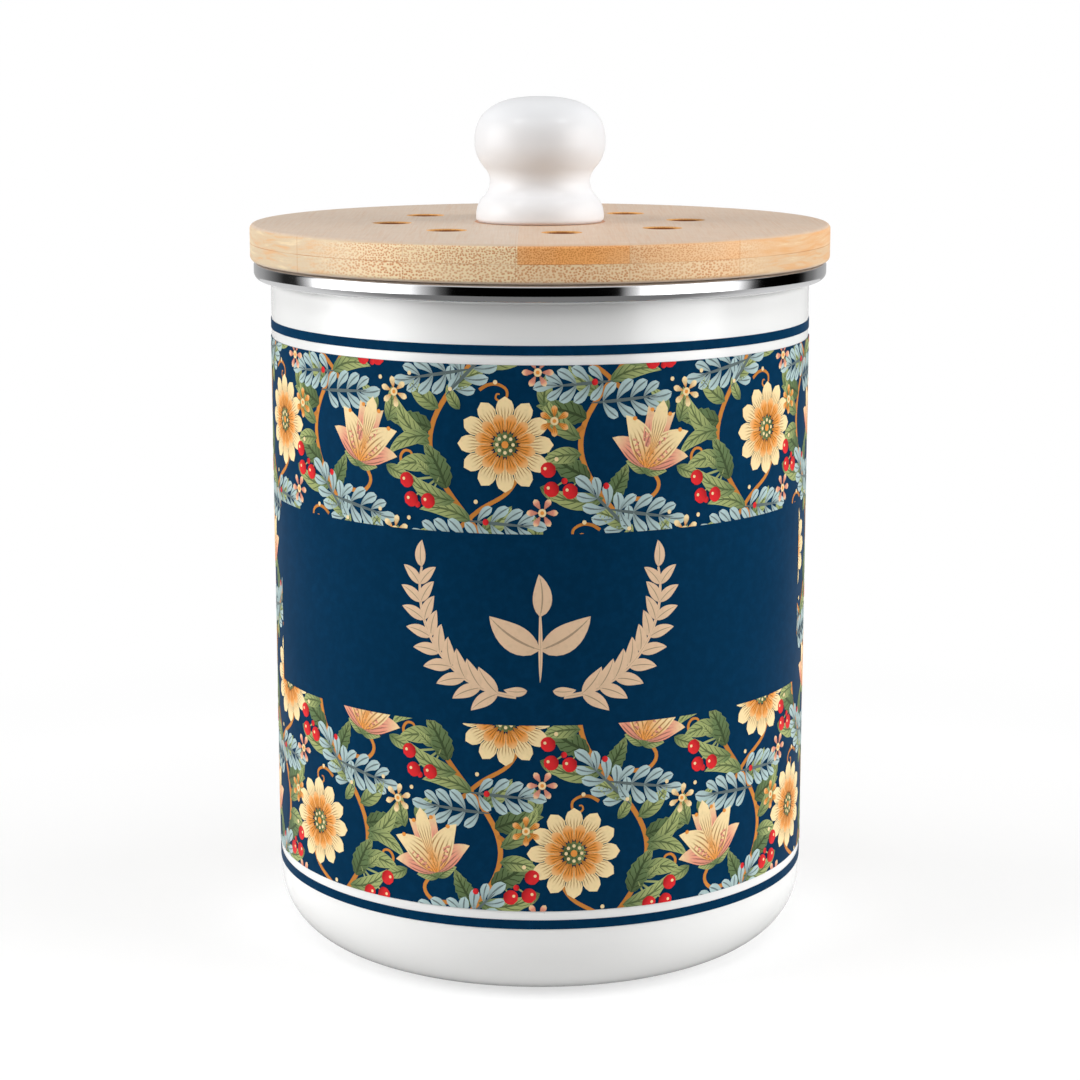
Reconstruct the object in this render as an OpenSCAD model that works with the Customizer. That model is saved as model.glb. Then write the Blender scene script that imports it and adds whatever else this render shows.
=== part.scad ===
// Countertop compost caddy: a round enamelled steel can with a steel rim band and a
// printed wrap, closed by a lift-off two-ply bamboo lid with vent holes and a white knob.
// A ring under the lid carries the seal and a pull-off cover that holds the carbon filter.
// Millimetres. +Z is up, the front of the label faces -Y, the origin is the middle of the
// base on the table.

/* [Can] */
// Outer diameter of the can
can_d = 145.2; // [130:0.2:170]
// Height of the can, from the table to the top of its rim band
can_h = 185.9; // [160:1:230]
// Thickness of the enamelled steel
can_wall = 1; // [0.8:0.1:1.4]
// Outer radius of the bottom corner
corner_r = 17.5; // [8:0.5:22]
// Width of the flat ring that the can stands on
foot_w = 3.6; // [2:0.2:8]
// How far the middle of the base is pressed up
base_lift = 1.5; // [0.8:0.1:3]
// Inside radius of the two bends that roll the mouth outwards
mouth_bend_r = 0.8; // [0.5:0.1:1.4]
// Width of the flat land between the mouth's two bends
mouth_land_w = 1.3; // [0.5:0.1:3]
// Length of the straight hem below the mouth's outer bend
hem_len = 0.5; // [0.2:0.1:2]

/* [Rim band] */
// Thickness of the band's steel
band_t = 0.5; // [0.4:0.1:0.7]
// Outer radius of the band's top edge
band_top_r = 1; // [0.8:0.1:1.4]
// Outer radius of the band's bottom edge
band_bottom_r = 2; // [1.2:0.1:2.4]

/* [Wrap] */
// Plain height between the top of the can and the upper border line
plain_top = 15.3; // [8:0.1:30]
// Plain height between the rounded bottom corner and the lower border line
plain_bottom = 3.4; // [0:0.1:12]
// Height of each border line
line_h = 2.4; // [1:0.1:4]
// White gap between a border line and the pattern
line_gap = 2.4; // [1:0.1:4]
// Height of the plain label panel
panel_h = 49; // [30:1:70]
// How far the label panel's middle is above the pattern's middle
panel_rise = 3.4; // [-5:0.1:10]
// Half the angle that the label panel spans
panel_half_angle = 71.5; // [40:0.5:80]
// Thickness of the fired transfer
film_t = 0.15; // [0.1:0.01:0.3]

/* [Lid board] */
// How far the board stands out past the rim band
lid_out = 0.9; // [0.6:0.1:3]
// Thickness of each of the board's two plies
ply_t = 4.9; // [4:0.1:8]
// Radius of the board's rounded edges
edge_r = 1.3; // [0.6:0.1:1.8]
// Angle that the lid is turned from the front
lid_turn = 8; // [0:1:44]
// Number of vent holes
vent_n = 8; // [6:1:10]
// Diameter of a vent hole
vent_d = 10; // [6:0.5:12]
// Distance from the filter bay's wall to the middle of a vent hole
vent_inset = 12.5; // [10:0.5:16]

/* [Locating ring and seal] */
// Gap between the can's bore and the locating ring
ring_gap = 3.8; // [3:0.1:5]
// Width of the locating ring, from its outside to the filter bay
ring_w = 15.3; // [12:0.1:18]
// Height of the locating ring
ring_h = 10; // [9:0.5:14]
// Depth of the seal's groove
groove_depth = 2; // [1.5:0.1:3]
// Height of the seal's groove
groove_h = 3; // [2.4:0.1:3.6]
// Distance from the board down to the seal's groove
groove_drop = 4; // [2.5:0.1:4.5]
// Thickness of a seal lip
lip_t = 0.8; // [0.6:0.1:1]
// How far a seal lip rises towards its edge
lip_rise = 0.7; // [0.3:0.1:1]

/* [Filter] */
// Wall thickness of the filter cover
cover_t = 1.4; // [1.2:0.1:2]
// How far the cover's collar reaches into the bay
collar_h = 4; // [3:0.5:6]
// Width of the cover's flange under the locating ring
flange_w = 4.5; // [3:0.5:8]
// Number of rows of slots in the cover
slot_rows = 4; // [3:1:5]
// Width of the cover's ribs
rib_w = 3; // [2:0.2:4]
// Number of spokes in the cover
spoke_n = 6; // [4:1:8]
// Radius of the solid middle of the cover
hub_r = 9; // [7:0.5:12]
// Width of a finger tab on the cover
tab_w = 14; // [10:1:20]
// How far a finger tab stands out from the flange
tab_out = 4; // [3:0.5:5]
// Thickness of a finger tab
tab_t = 2; // [1.5:0.1:3]
// Rounding of the filter pad's edges
pad_edge_r = 1; // [0.5:0.1:1.5]

/* [Knob] */
// Diameter of the knob's ball
ball_d = 35.2; // [34:0.1:37]
// Height from the waist up to the ball's widest place
ball_rise = 10.5; // [9.5:0.1:12]
// Radius of the ball's underside
ball_side_r = 10; // [9:0.1:11]
// Height of the dome above the ball's widest place
dome_h = 12.1; // [10:0.1:15]
// Squareness of the dome, where 2 is an ellipse
dome_power = 2.5; // [2:0.1:2.8]
// Diameter of the waist
waist_d = 27; // [26:0.1:28]
// Radius of the flare under the waist
flare_r = 5; // [4:0.1:7]
// Diameter of the knob's foot
knob_foot_d = 34.5; // [33:0.1:36]
// Radius of the foot's upper edge
foot_top_r = 8; // [5:0.1:9]
// Height of the foot's straight side
foot_side_h = 0.4; // [0.2:0.1:2]
// Radius of the foot's lower edge
foot_edge_r = 1.2; // [0.6:0.1:1.6]

/* [Knob fixing] */
// Diameter of the knob screw's shank
screw_d = 3.9; // [3.4:0.1:4.5]
// Length of the knob screw under its head
screw_len = 20; // [17:0.5:22]
// Diameter of the screw head
head_d = 8; // [7:0.1:10]
// Height of the screw head
head_h = 2.6; // [2:0.1:3]
// Rounding of the screw head's edge
head_edge_r = 1.2; // [0.6:0.1:1.6]
// Length of one arm of the screw head's cross recess
recess_arm = 2.2; // [1.6:0.1:2.8]
// Width of the cross recess
recess_w = 0.9; // [0.7:0.1:1.2]
// Depth of the cross recess
recess_depth = 1.1; // [0.6:0.1:1.4]
// Diameter of the washer
washer_d = 12; // [10:0.5:14]
// Thickness of the washer
washer_t = 1; // [0.8:0.1:1.4]
// Diameter of the brass insert in the knob
insert_d = 7; // [6:0.1:8.5]
// Length of the brass insert
insert_len = 12; // [10:0.5:14]

/* [Fits] */
// Gap between the lid's board and the rim band that it rests on
seat_clear = 0.1; // [0.05:0.05:0.3]
// Radial clearance of the screw in the washer, board and insert
screw_clear = 0.05; // [0.02:0.01:0.2]
// Radial clearance of the insert in the knob
insert_clear = 0.03; // [0.02:0.01:0.1]
// Clearance of the seal in its groove
seal_clear = 0.05; // [0.02:0.01:0.1]
// Gap between the seal's lips and the can's bore
lip_clear = 0.35; // [0.3:0.05:0.5]
// Gap between the filter cover's collar and the bay
cover_clear = 0.3; // [0.3:0.05:0.5]
// Gap between the filter pad and the cover's collar
pad_clear = 0.4; // [0.3:0.05:0.8]
// Gap between the filter pad and the screw head above it
head_clear = 0.4; // [0.3:0.05:0.8]
// Thickness of the bond between the transfer and the can
film_bond = 0.02; // [0.01:0.01:0.05]
// Gap between the rim band and the hem inside it
band_clear = 0.1; // [0.02:0.02:0.3]
// Gap between the rim band's lower edge and the can wall
curl_clear = 0.4; // [0.3:0.05:0.6]

/* [Hidden] */
$fn = 96;
arc_steps = 8;
dome_steps = 18;
over = 1; // how far a cutting shape runs past what it cuts

can_r = can_d / 2;
bore_r = can_r - can_wall;
recess_r = can_r - corner_r - foot_w;
mouth_outer_r = mouth_bend_r + can_wall;
hem_r = bore_r + 2 * mouth_outer_r + mouth_land_w;
land_z = can_h - band_t;
mouth_z = land_z - mouth_outer_r;
hem_z = mouth_z - hem_len;
band_r = hem_r + band_clear + band_t;
band_z = hem_z - band_bottom_r;

film_r = can_r + film_bond;
line_lower_z = corner_r + plain_bottom;
line_upper_z = can_h - plain_top - line_h;
print_z = line_lower_z + line_h + line_gap;
print_h = line_upper_z - line_gap - print_z;
panel_z = print_z + print_h / 2 + panel_rise - panel_h / 2;

board_r = band_r + lid_out;
board_z = can_h + seat_clear;
board_top_z = board_z + 2 * ply_t;

ring_r = bore_r - ring_gap;
bay_r = ring_r - ring_w;
ring_z = board_z - ring_h;
vent_circle_r = bay_r - vent_inset;
groove_z = board_z - groove_drop - groove_h;
lip_r = bore_r - lip_clear;

collar_r = bay_r - cover_clear;
pad_r = collar_r - cover_t - pad_clear;
pad_z = ring_z;
pad_h = ring_h - washer_t - head_h - head_clear;
cover_z = ring_z - cover_t;
flange_reach_r = bay_r + flange_w;

ball_r = ball_d / 2;
waist_r = waist_d / 2;
knob_foot_r = knob_foot_d / 2;
// The foot's upper edge runs smoothly into the flare under the waist
foot_side_z = foot_edge_r + foot_side_h;
flare_run = waist_r + flare_r - knob_foot_r + foot_top_r;
flare_up = sqrt(pow(flare_r + foot_top_r, 2) - flare_run * flare_run);
foot_angle = atan2(flare_up, flare_run);
waist_z = foot_side_z + flare_up;
ball_z = waist_z + ball_rise;
// The radius above the waist that runs smoothly into the ball's underside
ball_side_centre_r = ball_r - ball_side_r;
ball_across = waist_r - ball_side_centre_r;
waist_top_r = (ball_across * ball_across + ball_rise * ball_rise - ball_side_r * ball_side_r)
    / (2 * (ball_side_r - ball_across));
ball_angle = atan2(ball_rise, waist_r + waist_top_r - ball_side_centre_r);
screw_r = screw_d / 2;
screw_hole_r = screw_r + screw_clear;
insert_r = insert_d / 2;

// ---- Shared shapes ----

// Points of an arc in the r-z plane, from one angle to another
function arc(centre_r, centre_z, radius, from, to, steps = arc_steps) =
    [for (i = [0:steps]) let (a = from + (to - from) * i / steps)
        [centre_r + radius * cos(a), centre_z + radius * sin(a)]];

// One quarter of a ring of sheet, the one that faces the signs sx and sy
module quarter_ring(outer, inner, sx, sy) {
    intersection() {
        difference() {
            circle(outer);
            circle(inner);
        }
        translate([sx > 0 ? 0 : -outer - over, sy > 0 ? 0 : -outer - over])
            square(outer + over);
    }
}

// A washer shape: a disc with a hole, from z = 0 up
module disc_with_hole(outer, inner, height) {
    difference() {
        cylinder(r = outer, h = height);
        translate([0, 0, -over])
            cylinder(r = inner, h = height + 2 * over);
    }
}

// A sleeve of transfer film on the can wall
module film_sleeve(z, height) {
    translate([0, 0, z])
        disc_with_hole(film_r + film_t, film_r, height);
}

// A curved slab where the label panel is, centred on the front
module panel_slab(inner, outer) {
    rotate([0, 0, -90 - panel_half_angle])
        rotate_extrude(angle = 2 * panel_half_angle)
            translate([inner, panel_z])
                square([outer - inner, panel_h]);
}

// What is drilled through both plies of the board
module board_holes() {
    translate([0, 0, board_z - over])
        cylinder(r = screw_hole_r, h = 2 * ply_t + 2 * over);
    for (i = [0:vent_n - 1])
        rotate([0, 0, 360 * i / vent_n])
            translate([0, -vent_circle_r, board_z - over])
                cylinder(d = vent_d, h = 2 * ply_t + 2 * over);
}

// Section of a ply with a rounded outer edge at its top
module ply_section() {
    square([board_r - edge_r, ply_t]);
    square([board_r, ply_t - edge_r]);
    translate([board_r - edge_r, ply_t - edge_r])
        circle(edge_r);
}

// ---- Can ----

module can_section() {
    floor_r = can_r - corner_r;
    // Pressed-up base, the ring it stands on and the step between them
    polygon([
        [0, base_lift],
        [recess_r - base_lift, base_lift],
        [recess_r, 0],
        [floor_r, 0],
        [floor_r, can_wall],
        [recess_r, can_wall],
        [recess_r - base_lift, base_lift + can_wall],
        [0, base_lift + can_wall]
    ]);
    translate([floor_r, corner_r])
        quarter_ring(corner_r, corner_r - can_wall, 1, -1);
    translate([bore_r, corner_r])
        square([can_wall, mouth_z - corner_r]);
    // Mouth, rolled outwards and down into a hem inside the band
    translate([bore_r + mouth_outer_r, mouth_z])
        quarter_ring(mouth_outer_r, mouth_bend_r, -1, 1);
    translate([bore_r + mouth_outer_r, land_z - can_wall])
        square([mouth_land_w, can_wall]);
    translate([hem_r - mouth_outer_r, mouth_z])
        quarter_ring(mouth_outer_r, mouth_bend_r, 1, 1);
    translate([hem_r - can_wall, hem_z])
        square([can_wall, hem_len]);
}

module can_body() {
    color("white")
        rotate_extrude()
            can_section();
}

module band_section() {
    land_r = bore_r + mouth_outer_r;
    curl_r = can_r + curl_clear;
    top_arc_r = band_r - band_top_r;
    bottom_arc_r = band_r - band_bottom_r;
    translate([land_r, land_z])
        square([top_arc_r - land_r, band_t]);
    translate([top_arc_r, can_h - band_top_r])
        quarter_ring(band_top_r, band_top_r - band_t, 1, 1);
    translate([band_r - band_t, hem_z])
        square([band_t, can_h - band_top_r - hem_z]);
    translate([bottom_arc_r, hem_z])
        quarter_ring(band_bottom_r, band_bottom_r - band_t, 1, -1);
    translate([curl_r, band_z])
        square([bottom_arc_r - curl_r, band_t]);
}

module rim_band() {
    color("silver")
        rotate_extrude()
            band_section();
}

// ---- Wrap ----

module print_wrap() {
    color([0.28, 0.42, 0.42])
        difference() {
            film_sleeve(print_z, print_h);
            panel_slab(film_r - over, film_r + film_t + over);
        }
}

module label_panel() {
    color([0.02, 0.2, 0.34])
        panel_slab(film_r, film_r + film_t);
}

module upper_line() {
    color([0.02, 0.2, 0.34])
        film_sleeve(line_upper_z, line_h);
}

module lower_line() {
    color([0.02, 0.2, 0.34])
        film_sleeve(line_lower_z, line_h);
}

// ---- Lid ----

module lid_upper_ply() {
    color([0.87, 0.72, 0.53])
        rotate([0, 0, lid_turn])
            difference() {
                translate([0, 0, board_z + ply_t])
                    rotate_extrude()
                        ply_section();
                board_holes();
            }
}

module lid_lower_ply() {
    color([0.91, 0.78, 0.6])
        rotate([0, 0, lid_turn])
            difference() {
                translate([0, 0, board_z])
                    rotate_extrude()
                        translate([0, ply_t])
                            mirror([0, 1])
                                ply_section();
                board_holes();
            }
}

// Outline of the knob from its foot, up its side and over its dome
function knob_outline() =
    concat(
        [[0, 0]],
        arc(knob_foot_r - foot_edge_r, foot_edge_r, foot_edge_r, -90, 0),
        arc(knob_foot_r - foot_top_r, foot_side_z, foot_top_r, 0, foot_angle),
        arc(waist_r + flare_r, waist_z, flare_r, 180 + foot_angle, 180),
        arc(waist_r + waist_top_r, waist_z, waist_top_r, 180, 180 - ball_angle),
        arc(ball_side_centre_r, ball_z, ball_side_r, -ball_angle, 0),
        [for (i = [1:dome_steps - 1]) let (a = 90 * i / dome_steps)
            [ball_r * pow(cos(a), 2 / dome_power), ball_z + dome_h * pow(sin(a), 2 / dome_power)]],
        [[0, ball_z + dome_h]]
    );

module knob() {
    color("white")
        translate([0, 0, board_top_z])
            difference() {
                rotate_extrude()
                    polygon(knob_outline());
                translate([0, 0, -over])
                    cylinder(r = insert_r + insert_clear, h = insert_len + over);
            }
}

module knob_insert() {
    color("gold")
        translate([0, 0, board_top_z])
            disc_with_hole(insert_r, screw_hole_r, insert_len);
}

module knob_washer() {
    color("silver")
        translate([0, 0, board_z - washer_t])
            disc_with_hole(washer_d / 2, screw_hole_r, washer_t);
}

module knob_screw() {
    head_r = head_d / 2;
    color("silver")
        translate([0, 0, board_z - washer_t]) {
            cylinder(r = screw_r, h = screw_len);
            translate([0, 0, -head_h])
                difference() {
                    rotate_extrude() {
                        square([head_r - head_edge_r, head_h]);
                        translate([0, head_edge_r])
                            square([head_r, head_h - head_edge_r]);
                        translate([head_r - head_edge_r, head_edge_r])
                            circle(head_edge_r);
                    }
                    for (turn = [0, 90])
                        rotate([0, 0, turn])
                            translate([-recess_arm, -recess_w / 2, -over])
                                cube([2 * recess_arm, recess_w, recess_depth + over]);
                }
        }
}

module locating_ring() {
    color([0.9, 0.76, 0.56])
        difference() {
            translate([0, 0, ring_z])
                disc_with_hole(ring_r, bay_r, ring_h);
            translate([0, 0, groove_z])
                disc_with_hole(ring_r + over, ring_r - groove_depth, groove_h);
        }
}

module seal_ring() {
    foot_inner_r = ring_r - groove_depth + seal_clear;
    foot_outer_r = ring_r + lip_t;
    foot_h = groove_h - 2 * seal_clear;
    color([0.93, 0.93, 0.9])
        translate([0, 0, groove_z + seal_clear])
            rotate_extrude() {
                translate([foot_inner_r, 0])
                    square([foot_outer_r - foot_inner_r, foot_h]);
                for (z = [0, foot_h - lip_t])
                    polygon([
                        [ring_r + lip_t / 2, z],
                        [lip_r, z + lip_rise],
                        [lip_r, z + lip_rise + lip_t / 2],
                        [ring_r + lip_t / 2, z + lip_t]
                    ]);
            }
}

// ---- Filter ----

module filter_cover() {
    inner_r = collar_r - cover_t;
    row_pitch = (inner_r - hub_r) / slot_rows;
    color([0.82, 0.83, 0.82])
        rotate([0, 0, lid_turn]) {
            difference() {
                union() {
                    translate([0, 0, cover_z])
                        cylinder(r = flange_reach_r, h = cover_t);
                    translate([0, 0, ring_z])
                        disc_with_hole(collar_r, inner_r, collar_h);
                }
                for (row = [0:slot_rows - 1])
                    translate([0, 0, cover_z - over])
                        difference() {
                            disc_with_hole(hub_r + row_pitch * (row + 1) - rib_w / 2,
                                hub_r + row_pitch * row + rib_w / 2, cover_t + 2 * over);
                            for (spoke = [0:spoke_n - 1])
                                rotate([0, 0, 360 * spoke / spoke_n])
                                    translate([0, -rib_w / 2, -over])
                                        cube([inner_r, rib_w, cover_t + 4 * over]);
                        }
            }
            for (side = [0, 180])
                rotate([0, 0, side])
                    translate([bay_r, -tab_w / 2, cover_z - tab_t])
                        cube([flange_w + tab_out, tab_w, tab_t]);
        }
}

module filter_pad() {
    color([0.15, 0.15, 0.15])
        translate([0, 0, pad_z])
            rotate_extrude() {
                square([pad_r - pad_edge_r, pad_h]);
                translate([0, pad_edge_r])
                    square([pad_r, pad_h - 2 * pad_edge_r]);
                for (z = [pad_edge_r, pad_h - pad_edge_r])
                    translate([pad_r - pad_edge_r, z])
                        circle(pad_edge_r);
            }
}

can_body();
rim_band();
print_wrap();
label_panel();
upper_line();
lower_line();
lid_upper_ply();
lid_lower_ply();
knob();
knob_insert();
knob_screw();
knob_washer();
locating_ring();
seal_ring();
filter_cover();
filter_pad();
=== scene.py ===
"""Dresses the compost caddy: an enamelled steel can with a steel rim band and a printed wrap, and a
bamboo lid with vent holes, a glazed knob, a seal and a carbon filter in its bay.

Lengths are in metres. The pattern is laid out flat in millimetres and then wrapped round the can."""

import math
from contextlib import contextmanager

import bpy
import numpy as np
from bpy.props import FloatProperty, FloatVectorProperty, IntProperty, PointerProperty
from mathutils import Matrix, Vector


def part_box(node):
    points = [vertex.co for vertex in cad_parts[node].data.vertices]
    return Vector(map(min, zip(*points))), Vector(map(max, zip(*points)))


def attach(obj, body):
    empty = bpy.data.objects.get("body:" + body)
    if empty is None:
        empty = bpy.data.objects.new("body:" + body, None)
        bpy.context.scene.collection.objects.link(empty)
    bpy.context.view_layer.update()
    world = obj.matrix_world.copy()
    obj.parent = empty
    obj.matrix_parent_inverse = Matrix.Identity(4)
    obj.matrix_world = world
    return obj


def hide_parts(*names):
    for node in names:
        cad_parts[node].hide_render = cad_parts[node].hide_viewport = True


bl_info = {
    "name": "Vented Compost Caddy",
    "version": (1, 0, 0),
    "blender": (4, 5, 0),
    "location": "View3D > Sidebar > Caddy",
    "description": "Models the finished pieces of a countertop compost caddy round its frame",
    "category": "Object",
}

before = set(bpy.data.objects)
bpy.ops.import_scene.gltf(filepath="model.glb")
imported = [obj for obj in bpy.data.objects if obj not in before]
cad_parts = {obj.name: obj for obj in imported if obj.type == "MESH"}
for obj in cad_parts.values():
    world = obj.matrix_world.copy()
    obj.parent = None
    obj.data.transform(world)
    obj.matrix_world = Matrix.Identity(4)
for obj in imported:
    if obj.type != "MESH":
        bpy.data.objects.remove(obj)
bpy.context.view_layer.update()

MM = 0.001
FULL_TURN = 2 * math.pi
FRONT = -math.pi / 2
LATHE_STEPS = 192
SMOOTH_ANGLE = 35
# How close two points are to be merged, in millimetres
WELD = 0.001


def reach(node):
    """How far a round node stands out from the axis."""
    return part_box(node)[1].x


def bottom(node):
    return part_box(node)[0].z


def top(node):
    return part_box(node)[1].z


# ---- Sizes and colours ----


def length(name, description, default):
    return FloatProperty(name=name, description=description, default=default, min=0, unit="LENGTH")


def angle(name, description, default):
    return FloatProperty(
        name=name, description=description, default=math.radians(default), subtype="ANGLE"
    )


def colour(name, description, default):
    return FloatVectorProperty(
        name=name, description=description, default=default, min=0, max=1, size=3, subtype="COLOR"
    )


def amount(name, description, default):
    return FloatProperty(name=name, description=description, default=default, min=0)


def number_of(name, description, default):
    return IntProperty(name=name, description=description, default=default, min=3, max=12)


class CaddyCan(bpy.types.PropertyGroup):
    wall: length("Wall", "Thickness of the enamelled steel", 1.0 * MM)
    corner_radius: length("Corner radius", "Outer radius of the bottom corner", 17.5 * MM)
    foot_width: length("Foot width", "Width of the ring that the can stands on", 3.6 * MM)
    base_lift: length("Base lift", "How far the base is pressed up", 1.5 * MM)
    bend_radius: length("Bend radius", "Inside radius of the rolled mouth's bends", 0.8 * MM)
    hem_length: length("Hem length", "Straight hem below the mouth's outer bend", 0.5 * MM)
    enamel: colour("Enamel", "Colour of the fired enamel", (0.86, 0.86, 0.85))


class CaddyBand(bpy.types.PropertyGroup):
    sheet: length("Sheet", "Thickness of the band's steel", 0.5 * MM)
    top_radius: length("Top radius", "Outer radius of the band's top edge", 1.0 * MM)
    bottom_radius: length("Bottom radius", "Outer radius of the band's bottom edge", 2.0 * MM)
    curl_gap: length("Curl gap", "Gap between the band's lower edge and the can", 0.4 * MM)
    steel: colour("Steel", "Colour of the polished steel", (0.78, 0.78, 0.79))


class CaddyPrint(bpy.types.PropertyGroup):
    film: length("Film", "Thickness of the fired transfer", 0.15 * MM)
    bond: length("Bond", "Gap between the transfer and the can", 0.02 * MM)
    panel_half_angle: angle("Panel half angle", "Half of the label panel's angle", 71.5)
    columns: number_of("Columns", "Repeats of the pattern round the can", 6)
    navy: colour("Navy", "Ground of the pattern, the panel and the lines", (0.0008, 0.026, 0.068))
    sage: colour("Sage", "Ink of the green leaves", (0.33, 0.38, 0.15))
    moss: colour("Moss", "Ink of the dark leaves", (0.12, 0.18, 0.075))
    mist: colour("Mist", "Ink of the pale blue leaves", (0.38, 0.5, 0.5))
    cream: colour("Cream", "Ink of the pale petals", (0.84, 0.66, 0.36))
    amber: colour("Amber", "Ink of the orange petals", (0.78, 0.3, 0.06))
    coral: colour("Coral", "Ink of the pink petals", (0.78, 0.32, 0.22))
    berry: colour("Berry", "Ink of the berries", (0.66, 0.025, 0.03))
    ornament: colour("Ornament", "Ink of the ornament on the panel", (0.75, 0.53, 0.35))


class CaddyBoard(bpy.types.PropertyGroup):
    edge_radius: length("Edge radius", "Radius of the board's rounded edges", 1.3 * MM)
    vent_count: number_of("Vents", "Number of vent holes", 8)
    vent_radius: length("Vent radius", "Radius of a vent hole", 5.0 * MM)
    vent_circle: length("Vent circle", "Radius of the circle of vent holes", 40.0 * MM)
    vent_chamfer: length("Vent chamfer", "Broken edge of a hole", 0.35 * MM)
    screw_hole: length("Screw hole", "Radius of the screw's hole", 2.0 * MM)
    turn: angle("Turn", "Angle that the lid is turned from the front", 8.0)
    strip_width: length("Strip width", "Width of one bamboo strip", 27.7 * MM)
    strip_start: length("Strip start", "Offset of a strip joint from the middle", 21.8 * MM)
    pale: colour("Pale", "Colour of the soft bamboo", (0.60, 0.495, 0.345))
    tan: colour("Tan", "Colour of the darkest strips", (0.88, 0.385, 0.10))
    gap: colour("Gap", "Colour between the fibre bundles", (0.90, 0.725, 0.46))
    fibre: colour("Fibre", "Colour of the fibre bundles", (0.56, 0.155, 0.01))
    sanded: colour("Sanded face", "Colour of the sanded faces", (0.63, 0.505, 0.395))
    # Charred is also painted shade: the holes' walls turn to it deeper down.
    charred_and_shaded: colour("Charred", "Colour of the drilled end grain", (0.27, 0.075, 0.012))
    browned: colour("Browned", "Colour of the drilled holes' walls", (0.70, 0.34, 0.08))


class CaddyKnob(bpy.types.PropertyGroup):
    ball_radius: length("Ball radius", "Radius of the knob's ball", 17.6 * MM)
    ball_rise: length("Ball rise", "From the waist up to the ball's widest place", 10.5 * MM)
    ball_side_radius: length("Ball side radius", "Radius of the ball's underside", 10.0 * MM)
    dome_power: amount("Dome squareness", "Squareness of the dome, where 2 is an ellipse", 2.5)
    waist_radius: length("Waist radius", "Radius of the waist", 13.5 * MM)
    flare_radius: length("Flare radius", "Radius of the flare under the waist", 5.0 * MM)
    foot_radius: length("Foot radius", "Radius of the foot", 17.25 * MM)
    foot_top_radius: length("Foot top radius", "Radius of the foot's upper edge", 8.0 * MM)
    foot_side: length("Foot side", "Height of the foot's straight side", 0.4 * MM)
    foot_edge_radius: length("Foot edge radius", "Radius of the foot's lower edge", 1.2 * MM)
    fixing_edge: length("Fixing edge", "Rounding of the screw's and washer's edges", 0.12 * MM)
    glaze: colour("Glaze", "Colour of the knob's glaze", (0.785, 0.79, 0.805))


class CaddyFilter(bpy.types.PropertyGroup):
    edge_break: length("Edge break", "Rounding of the moulded and turned edges", 0.3 * MM)
    lip: length("Lip", "Thickness of a seal lip", 0.8 * MM)
    lip_rise: length("Lip rise", "How far a seal lip rises towards its edge", 0.7 * MM)
    groove_depth: length("Groove depth", "Depth of the seal's groove", 2.0 * MM)
    pad_edge: length("Pad edge", "Rounding of the pad's edges", 2.2 * MM)
    pad_crown: length("Pad crown", "How far the pad's face swells", 0.5 * MM)


class CaddyStage(bpy.types.PropertyGroup):
    lens: amount("Lens", "Focal length in millimetres on a 36 mm sensor", 87.87)
    distance: length("Distance", "From the can's axis to the camera", 0.715)
    height: length("Height", "Height of the camera above the floor", 0.2466)
    pitch: angle("Pitch", "How far the camera looks down", 10.958)
    floor_radius: length("Floor radius", "Radius of the floor", 0.9)
    sky: amount("Sky", "Strength of the even light from the screens", 0.3)
    screens: amount("Screens", "Brightness of the side screens that gloss reflects", 3.5)
    side_lamp: amount("Side lamp", "Power of each soft box beside the can, in watts", 11.5)
    top_lamp: amount("Top lamp", "Power of each soft box above the can, in watts", 1.6)
    front_lamp: amount("Front lamp", "Power of the soft box above the camera, in watts", 3.1)
    back_lamp: amount("Back lamp", "Power of the soft box behind the can, in watts", 1.8)


# ---- Modelling helpers ----


def clear_selection():
    if bpy.context.object and bpy.context.object.mode != "OBJECT":
        bpy.ops.object.mode_set(mode="OBJECT")
    bpy.ops.object.select_all(action="DESELECT")


def pick(*pieces):
    """Selects these pieces alone and makes the first one active."""
    clear_selection()
    for piece in pieces:
        piece.select_set(True)
    bpy.context.view_layer.objects.active = pieces[0]
    return pieces[0]


@contextmanager
def editing():
    """Edit mode for the active piece."""
    bpy.ops.object.mode_set(mode="EDIT")
    yield
    bpy.ops.object.mode_set(mode="OBJECT")


@contextmanager
def editing_some(piece, kind, test):
    """Edit mode with only those edges or faces of a piece selected that pass the test."""
    pick(piece)
    with editing():
        bpy.ops.mesh.select_mode(type=kind)
        bpy.ops.mesh.select_all(action="DESELECT")
    parts = piece.data.polygons if kind == "FACE" else piece.data.edges
    parts.foreach_set("select", [test(part) for part in parts])
    with editing():
        yield
        bpy.ops.mesh.select_mode(type="VERT")


def duplicate(piece):
    """Copies a piece, with a mesh of its own."""
    copied = piece.copy()
    copied.data = piece.data.copy()
    bpy.context.scene.collection.objects.link(copied)
    return copied


def join(pieces):
    joined = pick(*pieces)
    if len(pieces) > 1:
        bpy.ops.object.join()
    return joined


def discard(pieces):
    for piece in pieces:
        bpy.data.objects.remove(piece)


def arc(centre_r, centre_z, radius, start, end, steps=8):
    """Points of an arc in the r-z plane, with its angles in degrees."""
    turns = [math.radians(start + (end - start) * i / steps) for i in range(steps + 1)]
    return [(centre_r + radius * math.cos(a), centre_z + radius * math.sin(a)) for a in turns]


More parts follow.
